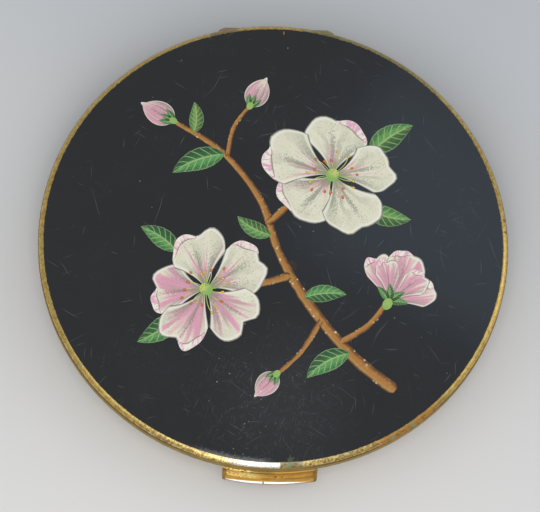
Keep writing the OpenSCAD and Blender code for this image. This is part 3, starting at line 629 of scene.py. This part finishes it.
def leaf_paint(g, u, v, tint, kind):
    """Green leaf, lighter on one half, with pale veins and edge."""
    side = abs(v)
    blotch = g.noise(0.9, 3.0)
    g.colour = g.mix((v + blotch * 0.6).step(0.05, 0.5), (0.02, 0.115, 0.035), (0.085, 0.3, 0.085))
    g.paint(tint.step(0.5, 1.0) * 0.45, (0.27, 0.33, 0.07))
    shade = stipple(g, side.step(0.25, 0.9))
    g.paint(shade * 0.55, (0.008, 0.045, 0.018))
    phase = g.math("FRACT", u * 7.0 - side * 1.3)
    vein = abs(phase - 0.5).step(0.12, 0.03) * side.step(0.98, 0.8) | side.step(0.11, 0.05)
    g.paint(vein * 0.62, (0.42, 0.52, 0.2))
    edge = side.step(0.88, 0.95)
    g.paint(edge * 0.45, (0.3, 0.45, 0.2))
    cup = g.mix(blotch, (0.16, 0.36, 0.07), (0.38, 0.5, 0.14))
    g.paint(kind.step(0.4, 0.6), cup)


def bark_paint(g, u, v, tint, kind):
    """Brown twig, lit along one side and dotted."""
    side = abs(v)
    blotch = g.noise(1.3, 4.0, 0.7)
    g.colour = g.mix(side.step(0.15, 0.8), (0.36, 0.155, 0.03), (0.115, 0.042, 0.012))
    g.paint(blotch.step(0.5, 0.68) * 0.6, (0.5, 0.27, 0.06))
    g.paint(v.between(0.15, 0.55, 0.6, 0.9) * 0.45, (0.62, 0.36, 0.1))
    away, chance, _ = g.cell_pair(g.join(u * 0.85, v * 0.8), 1.0)
    dot = away.step(0.24, 0.13) * chance.step(0.3, 0.35)
    g.paint(dot * 0.85, (0.72, 0.62, 0.38))
    ink = side.step(0.84, 0.95)
    g.paint(ink * 0.7, (0.05, 0.02, 0.008))


def stamen_paint(g, u, v, tint, kind):
    """Green threads with yellow and red ends."""
    thread = g.mix(u.step(0.2, 0.9), (0.22, 0.42, 0.1), (0.62, 0.58, 0.16))
    anther = g.mix(tint.step(0.45, 0.55), (0.8, 0.55, 0.05), (0.66, 0.17, 0.03))
    anther = g.mix(abs(v).step(0.5, 0.9) * 0.75, anther, (0.07, 0.035, 0.012))
    g.colour = g.mix(kind.step(0.4, 0.6), thread, anther)


def make_piece(name, material, verts, faces, smooth=True):
    """A linked object with a mesh of points in mm."""
    mesh = bpy.data.meshes.new(name)
    mesh.from_pydata([[c * MM for c in vert] for vert in verts], [], faces)
    mesh.polygons.foreach_set("use_smooth", [smooth] * len(faces))
    mesh.materials.append(material)
    mesh.update()
    piece = bpy.data.objects.new(name, mesh)
    bpy.context.scene.collection.objects.link(piece)
    return piece


def rim_edges(rows, across):
    """The edges round a grid of points, as pairs of indices."""
    rim = [i * across for i in range(rows)]
    rim += [(rows - 1) * across + j for j in range(1, across)]
    rim += [i * across + across - 1 for i in range(rows - 2, -1, -1)]
    rim += list(range(across - 2, 0, -1))
    return list(zip(rim, rim[1:] + rim[:1]))


def slab_faces(rows, across, first=0):
    """Faces of a closed slab: a grid of points, the same grid again below it, and the rim between them."""
    below = rows * across
    faces = []
    for i in range(rows - 1):
        for j in range(across - 1):
            k = i * across + j
            quad = (k, k + across, k + across + 1, k + 1)
            faces += [quad, tuple(corner + below for corner in reversed(quad))]
    faces += [(b, a, a + below, b + below) for a, b in rim_edges(rows, across)]
    return [tuple(first + corner for corner in face) for face in faces]


class Slabs:
    """Thin closed slabs on the crowned enamel, joined in one mesh. Each is a grid of plan points. SUNK is
    how far they reach into the enamel, and LAYER how far each layer stands over the one below."""
    SUNK = 0.03
    LAYER = 0.01

    def __init__(self):
        self.verts, self.faces, self.values = [], [], []

    def add(self, rows, layer, tint=0.5, kind=0.0):
        """rows are lists of points, each its place in plan and how far along and across the form it lies."""
        first = len(self.verts)
        points = [point for row in rows for point in row]
        edges = ((points[a], points[b]) for a, b in rim_edges(len(rows), len(rows[0])))
        turn = sum((b[0] - a[0]) * (b[1] + a[1]) for a, b in edges)
        if turn > 0:
            rows = [row[::-1] for row in rows]
        for level in (self.LAYER * (layer + 1), -self.SUNK):
            for row in rows:
                for x, y, u, v in row:
                    self.verts.append((x, y, crown_z(x, y) + level))
                    self.values.append((u, v, tint, kind))
        self.faces += slab_faces(len(rows), len(rows[0]), first)

    def piece(self, name, material):
        piece = make_piece(name, material, self.verts, self.faces, smooth=False)
        for k, attribute in enumerate(PRINT_ATTRIBUTES):
            layer = piece.data.attributes.new(attribute, "FLOAT", "POINT")
            layer.data.foreach_set("value", [v[k] for v in self.values])
        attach(piece, "lid")
        return piece


def slanted(x, y, tilt):
    """A point of a flower seen at a slant. tilt is a heading and how much the flower narrows that way."""
    a = math.radians(tilt[0])
    along, off = x * math.cos(a) + y * math.sin(a), -x * math.sin(a) + y * math.cos(a)
    along *= tilt[1]
    return along * math.cos(a) - off * math.sin(a), along * math.sin(a) + off * math.cos(a)


class Spray:
    """A generic spray of five-petalled blossom. Headings are in degrees."""

    def __init__(self, seed):
        self.rng = random.Random(seed)
        self.bark, self.leaves, self.petals, self.stamens = Slabs(), Slabs(), Slabs(), Slabs()

    def branch(self, points, wide, narrow):
        """A twig through the points, wide at the first and narrow at the last."""
        line = smooth_line(points, 9)
        n = len(line) - 1
        run, rows = 0.0, []
        for i, (x, y) in enumerate(line):
            a, b = line[max(i - 1, 0)], line[min(i + 1, n)]
            dx, dy = b[0] - a[0], b[1] - a[1]
            size = math.hypot(dx, dy)
            if i:
                run += math.hypot(x - line[i - 1][0], y - line[i - 1][1])
            half = wide + (narrow - wide) * i / n
            half *= 1 + 0.22 * noise.noise(Vector((run * 0.55, wide * 9, points[0][0])))
            if i in (0, n):
                half *= 0.6
            rows.append([(x - dy / size * half * v, y + dx / size * half * v, run, v)
                         for v in (-1, -0.7, -0.35, 0, 0.35, 0.7, 1)])
        self.bark.add(rows, 0)

    def leaf(self, x, y, heading, length, width, bend=0.5, layer=2, teeth=0.06, slabs=None, tint=None):
        """A pointed form that bends along its length: a leaf, a sepal or a bud's folded petal."""
        rows, n = [], 30
        at, turn = Vector((x, y)), math.radians(heading)
        tint = self.rng.random() if tint is None else tint
        for i in range(n + 1):
            s = i / n
            angle = turn + bend * (s - 0.3)
            half = width / 2 * max(math.sin(math.pi * min(s ** 0.8, 1.0)), 0.0) ** 0.85
            half = max(half * (1 + teeth * ((s * 12) % 1.0 - 0.5)), 0.02)
            across = Vector((-math.sin(angle), math.cos(angle)))
            rows.append([(*(at + across * half * v), s, v)
                         for v in (-1, -0.8, -0.5, -0.2, 0, 0.2, 0.5, 0.8, 1)])
            at = at + Vector((math.cos(angle), math.sin(angle))) * (length / n)
        (slabs or self.leaves).add(rows, layer, tint)

    def petal(self, hub, heading, length, spread, notch, layer, tint, tilt=None, fold=None):
        """A fan-shaped petal from the hub. tilt is the slant of the whole flower, and fold is where the
        petal's edge turns over, from -1 to 1 across."""
        rng = self.rng
        waves = [(rng.uniform(5, 8), rng.uniform(0, TAU), 0.022),
                 (rng.uniform(11, 16), rng.uniform(0, TAU), 0.011)]
        twist = rng.uniform(-0.12, 0.12)

        def place(s, t):
            half = spread * (0.42 + 0.58 * s ** 0.75)
            reach = 1 - 0.36 * abs(t) ** 3.0 - notch * math.exp(-(t / 0.17) ** 2)
            reach += sum(size * math.sin(k * t + p) for k, p, size in waves)
            angle = math.radians(heading) + half * t + twist * s * s
            px, py = length * reach * s * math.cos(angle), length * reach * s * math.sin(angle)
            if tilt:
                px, py = slanted(px, py, tilt)
            return hub[0] + px, hub[1] + py

        grid = [0.05 + 0.95 * (i / 15) ** 0.9 for i in range(16)]
        ts = [math.sin(math.pi / 2 * (j / 13 - 1)) for j in range(27)]
        self.petals.add([[(*place(s, t), s, t) for t in ts] for s in grid], layer, tint)
        if fold is not None:
            self.turned_edge(place, fold, layer + 1, tint)

    def turned_edge(self, place, fold, layer, tint):
        """The part of a petal's edge that is turned over."""
        wide = self.rng.uniform(0.34, 0.5)
        depth = self.rng.uniform(0.10, 0.16)
        rows = []
        for i in range(5):
            row = []
            for j in range(15):
                w = j / 7 - 1
                t = max(-0.98, min(0.98, fold + wide * w))
                inner = 1 - depth * (1 - w * w) - 0.004
                outer = 1.0 + 0.01 * (1 - w * w)
                row.append((*place(inner + (outer - inner) * i / 4, t), i / 4, w))
            rows.append(row)
        self.petals.add(rows, layer, tint, 1.0)

    def heart(self, hub, size, tilt, layer, count):
        """The stamens about a flower's middle."""
        rng = self.rng

        def place(angle, reach):
            x, y = slanted(reach * math.cos(angle), reach * math.sin(angle), tilt)
            return hub[0] + x, hub[1] + y

        self.oval(self.stamens, *hub, size * 0.10, size * 0.085, tilt[0], layer, 0.2, 0.0)
        for k in range(count):
            angle = TAU * (k + rng.uniform(-0.3, 0.3)) / count
            reach = size * rng.uniform(0.22, 0.40)
            rows, n = [], 7
            for i in range(n + 1):
                s = i / n
                x, y = place(angle + 0.18 * s * s, reach * (0.18 + 0.82 * s))
                half = 0.085 - 0.03 * s
                rows.append([(x - math.sin(angle) * half * v, y + math.cos(angle) * half * v, s, v)
                             for v in (-1, 0, 1)])
            self.stamens.add(rows, layer + 1)
            x, y = place(angle + 0.18, reach + 0.15)
            self.oval(self.stamens, x, y, rng.uniform(0.27, 0.36), rng.uniform(0.19, 0.24),
                      math.degrees(angle) + rng.uniform(-40, 40), layer + 2, rng.random(), 1.0)

    @staticmethod
    def oval(slabs, x, y, long, short, heading, layer, tint, kind):
        a = math.radians(heading)
        rows = []
        for i in range(7):
            w = math.sin(math.pi / 2 * (i / 3 - 1))
            half = max(short * math.sqrt(max(1 - w * w, 0.0)), 0.02)
            rows.append([(x + long * w * math.cos(a) - half * v * math.sin(a),
                          y + long * w * math.sin(a) + half * v * math.cos(a),
                          (w + 1) / 2, max(abs(v), abs(w))) for v in (-1, -0.5, 0, 0.5, 1)])
        slabs.add(rows, layer, tint, kind)

    def bloom(self, x, y, size, turn, tilt, pink, layer=4):
        """An open five-petalled flower."""
        rng = self.rng
        for k in (0, 2, 4, 1, 3):
            heading = turn + 72 * k + rng.uniform(-5, 5)
            length = size * rng.uniform(0.92, 1.05)
            spread = math.radians(rng.uniform(36, 43))
            fold = rng.choice([None, -0.45, 0.4, 0.55])
            self.petal((x, y), heading, length, spread, rng.uniform(0.05, 0.12), layer,
                       pink * rng.uniform(0.6, 1.15), tilt, fold)
            layer += 1
        self.heart((x, y), size, tilt, layer + 1, 17)

    def half_bloom(self, x, y, size, heading, pink, layer=4):
        """A flower seen from its side, on its green cup."""
        rng, a = self.rng, math.radians(heading)
        petals = ((-46, 0.86, 25), (47, 0.88, 25), (0, 1.0, 30), (-22, 0.82, 24), (26, 0.78, 23))
        for offset, reach, spread in petals:
            self.petal((x, y), heading + offset, size * reach, math.radians(spread), 0.07, layer,
                       pink * rng.uniform(0.8, 1.2), None, rng.choice([-0.4, 0.4]))
            layer += 1
        for offset in (-62, -24, 22, 60):
            self.leaf(x, y, heading + offset, size * 0.34, size * 0.13, 0.5 if offset > 0 else -0.5, layer,
                      teeth=0.0, tint=0.3)
        self.oval(self.leaves, x - 0.5 * math.cos(a), y - 0.5 * math.sin(a), 1.15, 0.85, heading, layer + 1,
                  0.2, 1.0)

    def bud(self, x, y, size, heading, pink, layer=4):
        """A closed bud: three folded petals and its sepals."""
        a = math.radians(heading)
        for offset, long, wide in ((14, 0.94, 0.50), (-14, 0.92, 0.50), (0, 1.0, 0.40)):
            self.leaf(x, y, heading + offset * 0.6, size * long, size * wide, -0.05 * offset, layer,
                      teeth=0.0, slabs=self.petals, tint=pink + 0.1 * (offset > 0))
            layer += 1
        for offset in (-30, 30, 0):
            self.leaf(x - 0.3 * math.cos(a), y - 0.3 * math.sin(a), heading + offset, size * 0.42,
                      size * 0.15, -0.012 * offset, layer, teeth=0.0, tint=0.4)
        self.oval(self.leaves, x, y, 0.75, 0.6, heading, layer + 1, 0.2, 1.0)

    def make(self):
        for slabs, name, draw in (
                (self.bark, "print_branch", bark_paint), (self.leaves, "print_leaves", leaf_paint),
                (self.petals, "print_petals", petal_paint), (self.stamens, "print_stamens", stamen_paint)):
            slabs.piece(name, printed(name + "_ink", draw))


def smooth_line(points, each):
    """A curve through the points, as many short straight lines."""
    line = []
    ends = [points[0]] + list(points) + [points[-1]]
    for a, b, c, d in zip(ends, ends[1:], ends[2:], ends[3:]):
        for i in range(each):
            t = i / each
            line.append(tuple(0.5 * (2 * b[k] + (c[k] - a[k]) * t
                                     + (2 * a[k] - 5 * b[k] + 4 * c[k] - d[k]) * t * t
                                     + (3 * b[k] - a[k] - 3 * c[k] + d[k]) * t ** 3) for k in (0, 1)))
    return line + [tuple(points[-1])]


def add_print():
    """The spray on the enamel: its twigs and leaves, two open flowers, one half open, and three buds."""
    spray = Spray(SPRAY_SEED)
    for points, wide, narrow in TWIGS:
        spray.branch(points, wide, narrow)
    for leaf in LEAVES:
        spray.leaf(*leaf)
    spray.bloom(10.2, 12.6, 12.8, 82, (60, 0.88), 0.35)
    spray.bloom(-11.8, -9.4, 12.2, 30, (150, 0.84), 0.75)
    spray.half_bloom(20.3, -10.8, 10.2, 62, 0.95)
    spray.bud(-18.2, 22.2, 6.8, 150, 0.75)
    spray.bud(-4.6, 25.4, 6.4, 62, 0.6)
    spray.bud(0.8, -24.6, 5.8, 228, 0.9)
    spray.make()


def mirror_silver():
    """Silvered glass with a clouded edge and small black spots of age."""
    g = Graph("mirror_glass_looks")
    r = g.plan_r()
    cloud = g.noise(0.5, 5.0, 0.7)
    aged = (r + cloud * 4.0).step(37.4, 40.5)
    spots = specks(g, scale=0.6, share=0.1, size=0.1)
    g.colour = g.mix(aged * 0.5, (0.88, 0.9, 0.9), (0.4, 0.36, 0.27))
    g.paint(spots * 0.6, (0.06, 0.055, 0.05))
    line = hairlines(g, 3, length=12.0, width=0.6, share=0.12, seed=77)
    rough = 0.015 + aged * 0.2 + line * 0.12 + g.noise(0.15, 3.0).step(0.55, 0.8) * 0.06
    return g.finish(rough, 1.0, [(line, -0.004, 0.4), (cloud, 0.001, 0.2)])


def card():
    """Grey-brown card with its fibres."""
    g = Graph("backing_card_looks")
    fibre = g.noise(1.2, 4.0, 0.7, at=g.vector("MULTIPLY", g.at, (1.0, 5.0, 1.0)))
    g.colour = g.mix(fibre, (0.26, 0.19, 0.12), (0.44, 0.35, 0.24))
    return g.finish(0.9, 0.0, [(fibre, 0.05, 0.5)])


def velour():
    """Short dense pile, with the nap lying in soft patches and powder caught in it."""
    g = Graph("puff_velour_looks")
    r = g.plan_r()
    nap = g.noise(0.11, 4.0, 0.65, 0.6)
    pile = g.noise(5.5, 3.0, 0.8)
    tufts = g.noise(1.7, 4.0, 0.7)
    powder = (g.noise(0.2, 5.0, 0.75) + pile * 0.25).step(0.6, 0.8) * pile.step(0.4, 0.62)
    g.colour = g.mix(nap.step(0.32, 0.68), (0.6, 0.36, 0.29), (0.76, 0.53, 0.44))
    g.paint(tufts.step(0.55, 0.38) * 0.4, (0.45, 0.25, 0.19))
    g.paint(pile.step(0.52, 0.32) * 0.55, (0.36, 0.19, 0.14))
    g.paint(powder * 0.5, (0.88, 0.74, 0.64))
    g.paint(r.step(30.2, 30.9) * 0.5, (0.42, 0.22, 0.18))
    return g.finish(0.95, 0.0, [(pile, 0.14, 0.8), (tufts, 0.12, 0.5), (nap, 0.2, 0.3)],
                    Sheen_Weight=0.6, Sheen_Roughness=0.45, Sheen_Tint=(1.0, 0.92, 0.86))


def satin():
    """Woven satin: fine threads along the ribbon, a cord along each edge."""
    g = Graph("satin_ribbon_looks")
    x, y, _ = g.axes
    warp = g.math("SINE", y * 42.0)
    weft = g.math("SINE", x * 16.0 + y * 5.0)
    fold = g.noise(1.0, at=g.vector("MULTIPLY", g.at, (0.25, 1.3, 1.0)))
    g.colour = g.mix(fold, (0.46, 0.19, 0.19), (0.68, 0.38, 0.36))
    g.paint(warp.step(0.2, 1.0) * 0.25, (0.82, 0.58, 0.54))
    edge = abs(y).step(4.0, 4.2)
    g.paint(edge * 0.4, (0.38, 0.15, 0.15))
    g.paint(g.noise(0.6, 4.0).step(0.58, 0.75) * 0.3, (0.86, 0.74, 0.66))
    rough = 0.32 + fold * 0.16
    return g.finish(rough, 0.0, [(warp, 0.02, 0.5), (weft, 0.01, 0.4)],
                    Anisotropic=0.5, Sheen_Weight=0.3)


def thread():
    """Twisted sewing thread."""
    g = Graph("thread_looks")
    x, y, _ = g.axes
    twist = g.math("SINE", y * 26.0 + x * 18.0)
    g.colour = g.mix(twist.step(-0.4, 0.8), (0.4, 0.19, 0.17), (0.72, 0.46, 0.41))
    return g.finish(0.6, 0.0, [(twist, 0.03, 0.6)], Sheen_Weight=0.3)


def woven_gauze():
    """Fine cotton weave with powder caught in it."""
    g = Graph("gauze_looks")
    x, y, _ = g.axes
    over = g.math("SINE", x * 12.0) * g.math("SINE", y * 12.0)
    thread = g.math("SINE", x * 24.0) | g.math("SINE", y * 24.0)
    g.colour = g.mix(thread.step(0.0, 0.9), (0.36, 0.29, 0.22), (0.8, 0.72, 0.6))
    g.paint(g.noise(0.4, 4.0).step(0.5, 0.75) * 0.5, (0.86, 0.74, 0.64))
    return g.finish(0.85, 0.0, [(thread, 0.05, 0.6), (over, 0.03, 0.5)], Sheen_Weight=0.2)


def lathe(name, material, profile, steps, wobble):
    """A closed round piece from (r, z) points that start and end on the axis. wobble gives how far a point
    moves outward and up."""
    verts, faces = [], []
    rings = []
    for r, z in profile:
        if r < 1e-6:
            rings.append([len(verts)])
            verts.append((0.0, 0.0, z))
            continue
        ring = []
        for k in range(steps):
            a = TAU * k / steps
            dr, dz = wobble(a, r, z)
            ring.append(len(verts))
            verts.append(((r + dr) * math.cos(a), (r + dr) * math.sin(a), z + dz))
        rings.append(ring)
    for low, high in zip(rings, rings[1:]):
        for k in range(steps):
            n = (k + 1) % steps
            if len(low) == 1:
                faces.append((low[0], high[n], high[k]))
            elif len(high) == 1:
                faces.append((low[k], low[n], high[0]))
            else:
                faces.append((low[k], low[n], high[n], high[k]))
    return make_piece(name, material, verts, faces)


def ovals(name, material, spots, half):
    """Small closed ovals about the spots, in one mesh. half is half their length along each axis."""
    verts, faces = [], []
    around, up = 12, 6
    for spot in spots:
        first = len(verts)
        for i in range(1, up):
            for k in range(around):
                e, a = math.pi * i / up - math.pi / 2, TAU * k / around
                way = (math.cos(e) * math.cos(a), math.cos(e) * math.sin(a), math.sin(e))
                verts.append([c + h * w for c, h, w in zip(spot, half, way)])
        low, high = len(verts), len(verts) + 1
        verts += [(spot[0], spot[1], spot[2] + end * half[2]) for end in (-1, 1)]
        for k in range(around):
            n = (k + 1) % around
            faces.append((low, first + n, first + k))
            last = first + (up - 2) * around
            faces.append((last + k, last + n, high))
            for i in range(up - 2):
                row = first + i * around
                faces.append((row + k, row + n, row + around + n, row + around + k))
    return make_piece(name, material, verts, faces)


def crown_drop(r, radius):
    """How far the puff's top lies below its middle at radius r."""
    return PUFF_CROWN * (r / radius) ** 4


def add_puff():
    """The puff: two napped faces gathered into a seam at the waist, flat below and crowned above."""
    lo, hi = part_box("puff_pad")
    low, high, radius = lo.z / MM + PUFF_GAP, hi.z / MM - PUFF_GAP, hi.x / MM
    mid = (low + high) / 2
    corner = (high - low) / 3
    inner = radius - corner
    rings = [inner * k / 24 for k in range(24)]
    shoulder = high - crown_drop(inner, radius)
    profile = [(r, low) for r in rings]
    for k in range(7):
        a = math.radians(-90 + 90 * k / 6)
        profile.append((inner + corner * math.cos(a), low + corner + corner * math.sin(a)))
    profile += [(radius - depth, mid + rise) for depth, rise in PUFF_GROOVE]
    for k in range(7):
        a = math.radians(90 * k / 6)
        z = shoulder - corner + corner * math.sin(a)
        profile.append((inner + corner * math.cos(a), max(z, mid + 0.25)))
    profile += [(r, high - crown_drop(r, radius)) for r in reversed(rings)]

    def nap(a, r, z):
        at = Vector((r * math.cos(a), r * math.sin(a), z))
        rise = 0.04 + 0.03 * noise.noise(at * 0.35) + 0.025 * noise.noise(at * 1.6)
        if r > inner + 0.1:
            gather = 0.05 * abs(math.sin(a * 48)) if abs(z - mid) < 0.6 else 0.0
            return -gather - 0.03 * abs(noise.noise(at * 1.7)), 0.0
        return 0.0, -rise if z > mid else rise * 0.5

    puff = lathe("velour_puff", velour(), profile, steps=216, wobble=nap)
    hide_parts("puff_pad")
    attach(puff, "base")
    return puff


def add_ribbon(puff):
    """The ribbon across the puff's back: a woven strip with corded edges, sewn down by a row of stitches at
    each end."""
    lo, hi = (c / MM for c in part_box("puff_ribbon"))
    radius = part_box("puff_pad")[1].x / MM
    reach, half = hi.x, hi.y
    n_long, n_wide = 120, 24
    verts = []
    for level in (1, 0):
        for i in range(n_long + 1):
            for j in range(n_wide + 1):
                t = 2 * j / n_wide - 1
                y = half * t
                x = math.sqrt(max(reach * reach - y * y, 0.0)) * (2 * i / n_long - 1)
                cord = RIBBON_CORD * math.exp(-((abs(t) - 0.95) / 0.035) ** 2)
                rise = RIBBON_RIPPLE * noise.noise(Vector((x * 0.35, y * 0.15, 3.0)))
                rise += level * (RIBBON_THICK + cord)
                z = lo.z + 0.01 + rise - crown_drop(math.hypot(x, y), radius)
                verts.append((x, y, z))
    ribbon = make_piece("satin_ribbon", satin(), verts, slab_faces(n_long + 1, n_wide + 1))
    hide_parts("puff_ribbon")
    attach(ribbon, "base")
    x = reach - STITCH_INSET
    spots = [(side * x, y, lo.z + 0.07 - crown_drop(math.hypot(x, y), radius))
             for side in (-1, 1) for y in STITCH_Y]
    stitches = ovals("ribbon_stitches", thread(), spots, STITCH_HALF)
    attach(stitches, "base")


def add_gauze():
    """The stretched gauze: a fine weave of crossing threads under the puff."""
    lo, hi = (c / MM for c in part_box("sifter_gauze"))
    radius, mid = hi.x, (lo.z + hi.z) / 2
    half = (hi.z - lo.z) / 2 - 0.01

    def weave(a, r, z):
        x, y = r * math.cos(a), r * math.sin(a)
        rise = 0.02 * math.sin(x * 2.1) * math.sin(y * 2.1)
        return 0.0, rise if r < radius - 1 else 0.0

    rings = [radius * (k / 40) for k in range(1, 40)]
    profile = [(0.0, mid - half + 0.02)] + [(r, mid - half + 0.02) for r in rings] + [(radius - 0.02, mid)]
    profile += [(r, mid + half - 0.02) for r in reversed(rings)] + [(0.0, mid + half - 0.02)]
    gauze = lathe("woven_gauze", woven_gauze(), profile, steps=160, wobble=weave)
    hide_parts("sifter_gauze")
    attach(gauze, "base")


def dress_nodes():
    """Gives every CAD node its material."""
    worn, catch, inner, spring = worn_gilt(), catch_gilt(), inner_gilt(), steel()
    looks = {
        "lid_shell": worn, "base_shell": worn, "base_hinge_leaf": worn, "lid_hinge_leaf": worn,
        "thumb_catch": catch, "enamel_panel": black_enamel(), "mirror_glass": mirror_silver(),
        "mirror_card": card(), "hinge_pin": spring, "inner_hinge_pin": spring, "inner_lid_springs": spring,
        "catch_spring": spring, "catch_slide": spring, "catch_rivets": spring,
    }
    for name, node in NODES.items():
        for slot in node.material_slots:
            slot.material = looks.get(name, inner)


def floor_paint():
    """Pale floor with painted shade, a little darker and cooler towards the back and slightly to the right.
    It is greyer far from the case.
    """
    g = Graph("floor_looks")
    x, y, _ = g.axes
    # Painted shade: the floor's tone falls off towards the back
    painted_falloff = x * -0.16 + y * -0.9 + (g.noise(0.015, 2.0) - 0.5) * 40.0
    g.colour = g.mix(painted_falloff.step(-80.0, 80.0), (0.465, 0.485, 0.51), (0.7, 0.69, 0.685))
    g.paint(g.plan_r().step(110.0, 420.0), (0.47, 0.47, 0.475))
    return g.finish(0.95, 0.0)


def add_floor():
    signs = ((-1, -1), (1, -1), (1, 1), (-1, 1))
    corners = [(x * FLOOR_HALF, y * FLOOR_HALF, -FLOOR_DROP) for x, y in signs]
    floor = make_piece("floor", floor_paint(), corners, [(0, 1, 2, 3)], smooth=False)


def aimed(name, data, azimuth, elevation, distance, aim=(0.0, 0.0, 0.0), roll=0.0):
    """A lamp or camera that looks at the point aim from that far away, in metres and degrees."""
    a, e = math.radians(azimuth), math.radians(elevation)
    back = Vector((math.sin(a) * math.cos(e), -math.cos(a) * math.cos(e), math.sin(e)))
    thing = bpy.data.objects.new(name, data)
    thing.location = Vector(aim) + back * distance
    thing.rotation_mode = "QUATERNION"
    turn = Quaternion((0, 0, 1), math.radians(roll))
    thing.rotation_quaternion = (-back).to_track_quat("-Z", "Y") @ turn
    bpy.context.scene.collection.objects.link(thing)
    return thing


def add_light():
    world = bpy.data.worlds.new("world")
    world.use_nodes = True
    background = world.node_tree.nodes["Background"]
    background.inputs[0].default_value = SKY
    background.inputs[1].default_value = SKY_LEVEL
    bpy.context.scene.world = world
    for name, azimuth, elevation, distance, size, power, colour in LAMPS:
        data = bpy.data.lights.new(name, "AREA")
        data.shape = "RECTANGLE"
        data.size, data.size_y = size
        data.energy = power
        data.color = colour
        aimed(name, data, azimuth, elevation, distance)


def add_camera():
    data = bpy.data.cameras.new("camera")
    data.sensor_width = SENSOR_W
    data.lens = CAM_FOCAL_PX / FRAME_W * SENSOR_W
    data.clip_start, data.clip_end = 0.01, 20.0
    bpy.context.scene.camera = aimed("camera", data, CAM_AZIMUTH, CAM_ELEVATION, CAM_DISTANCE * MM,
                                     Vector(CAM_AIM) * MM, CAM_ROLL)


bpy.context.scene.view_settings.view_transform = "Standard"
add_camera()
add_floor()
add_light()
dress_nodes()
add_print()
add_ribbon(add_puff())
add_gauze()
bpy.context.view_layer.update()
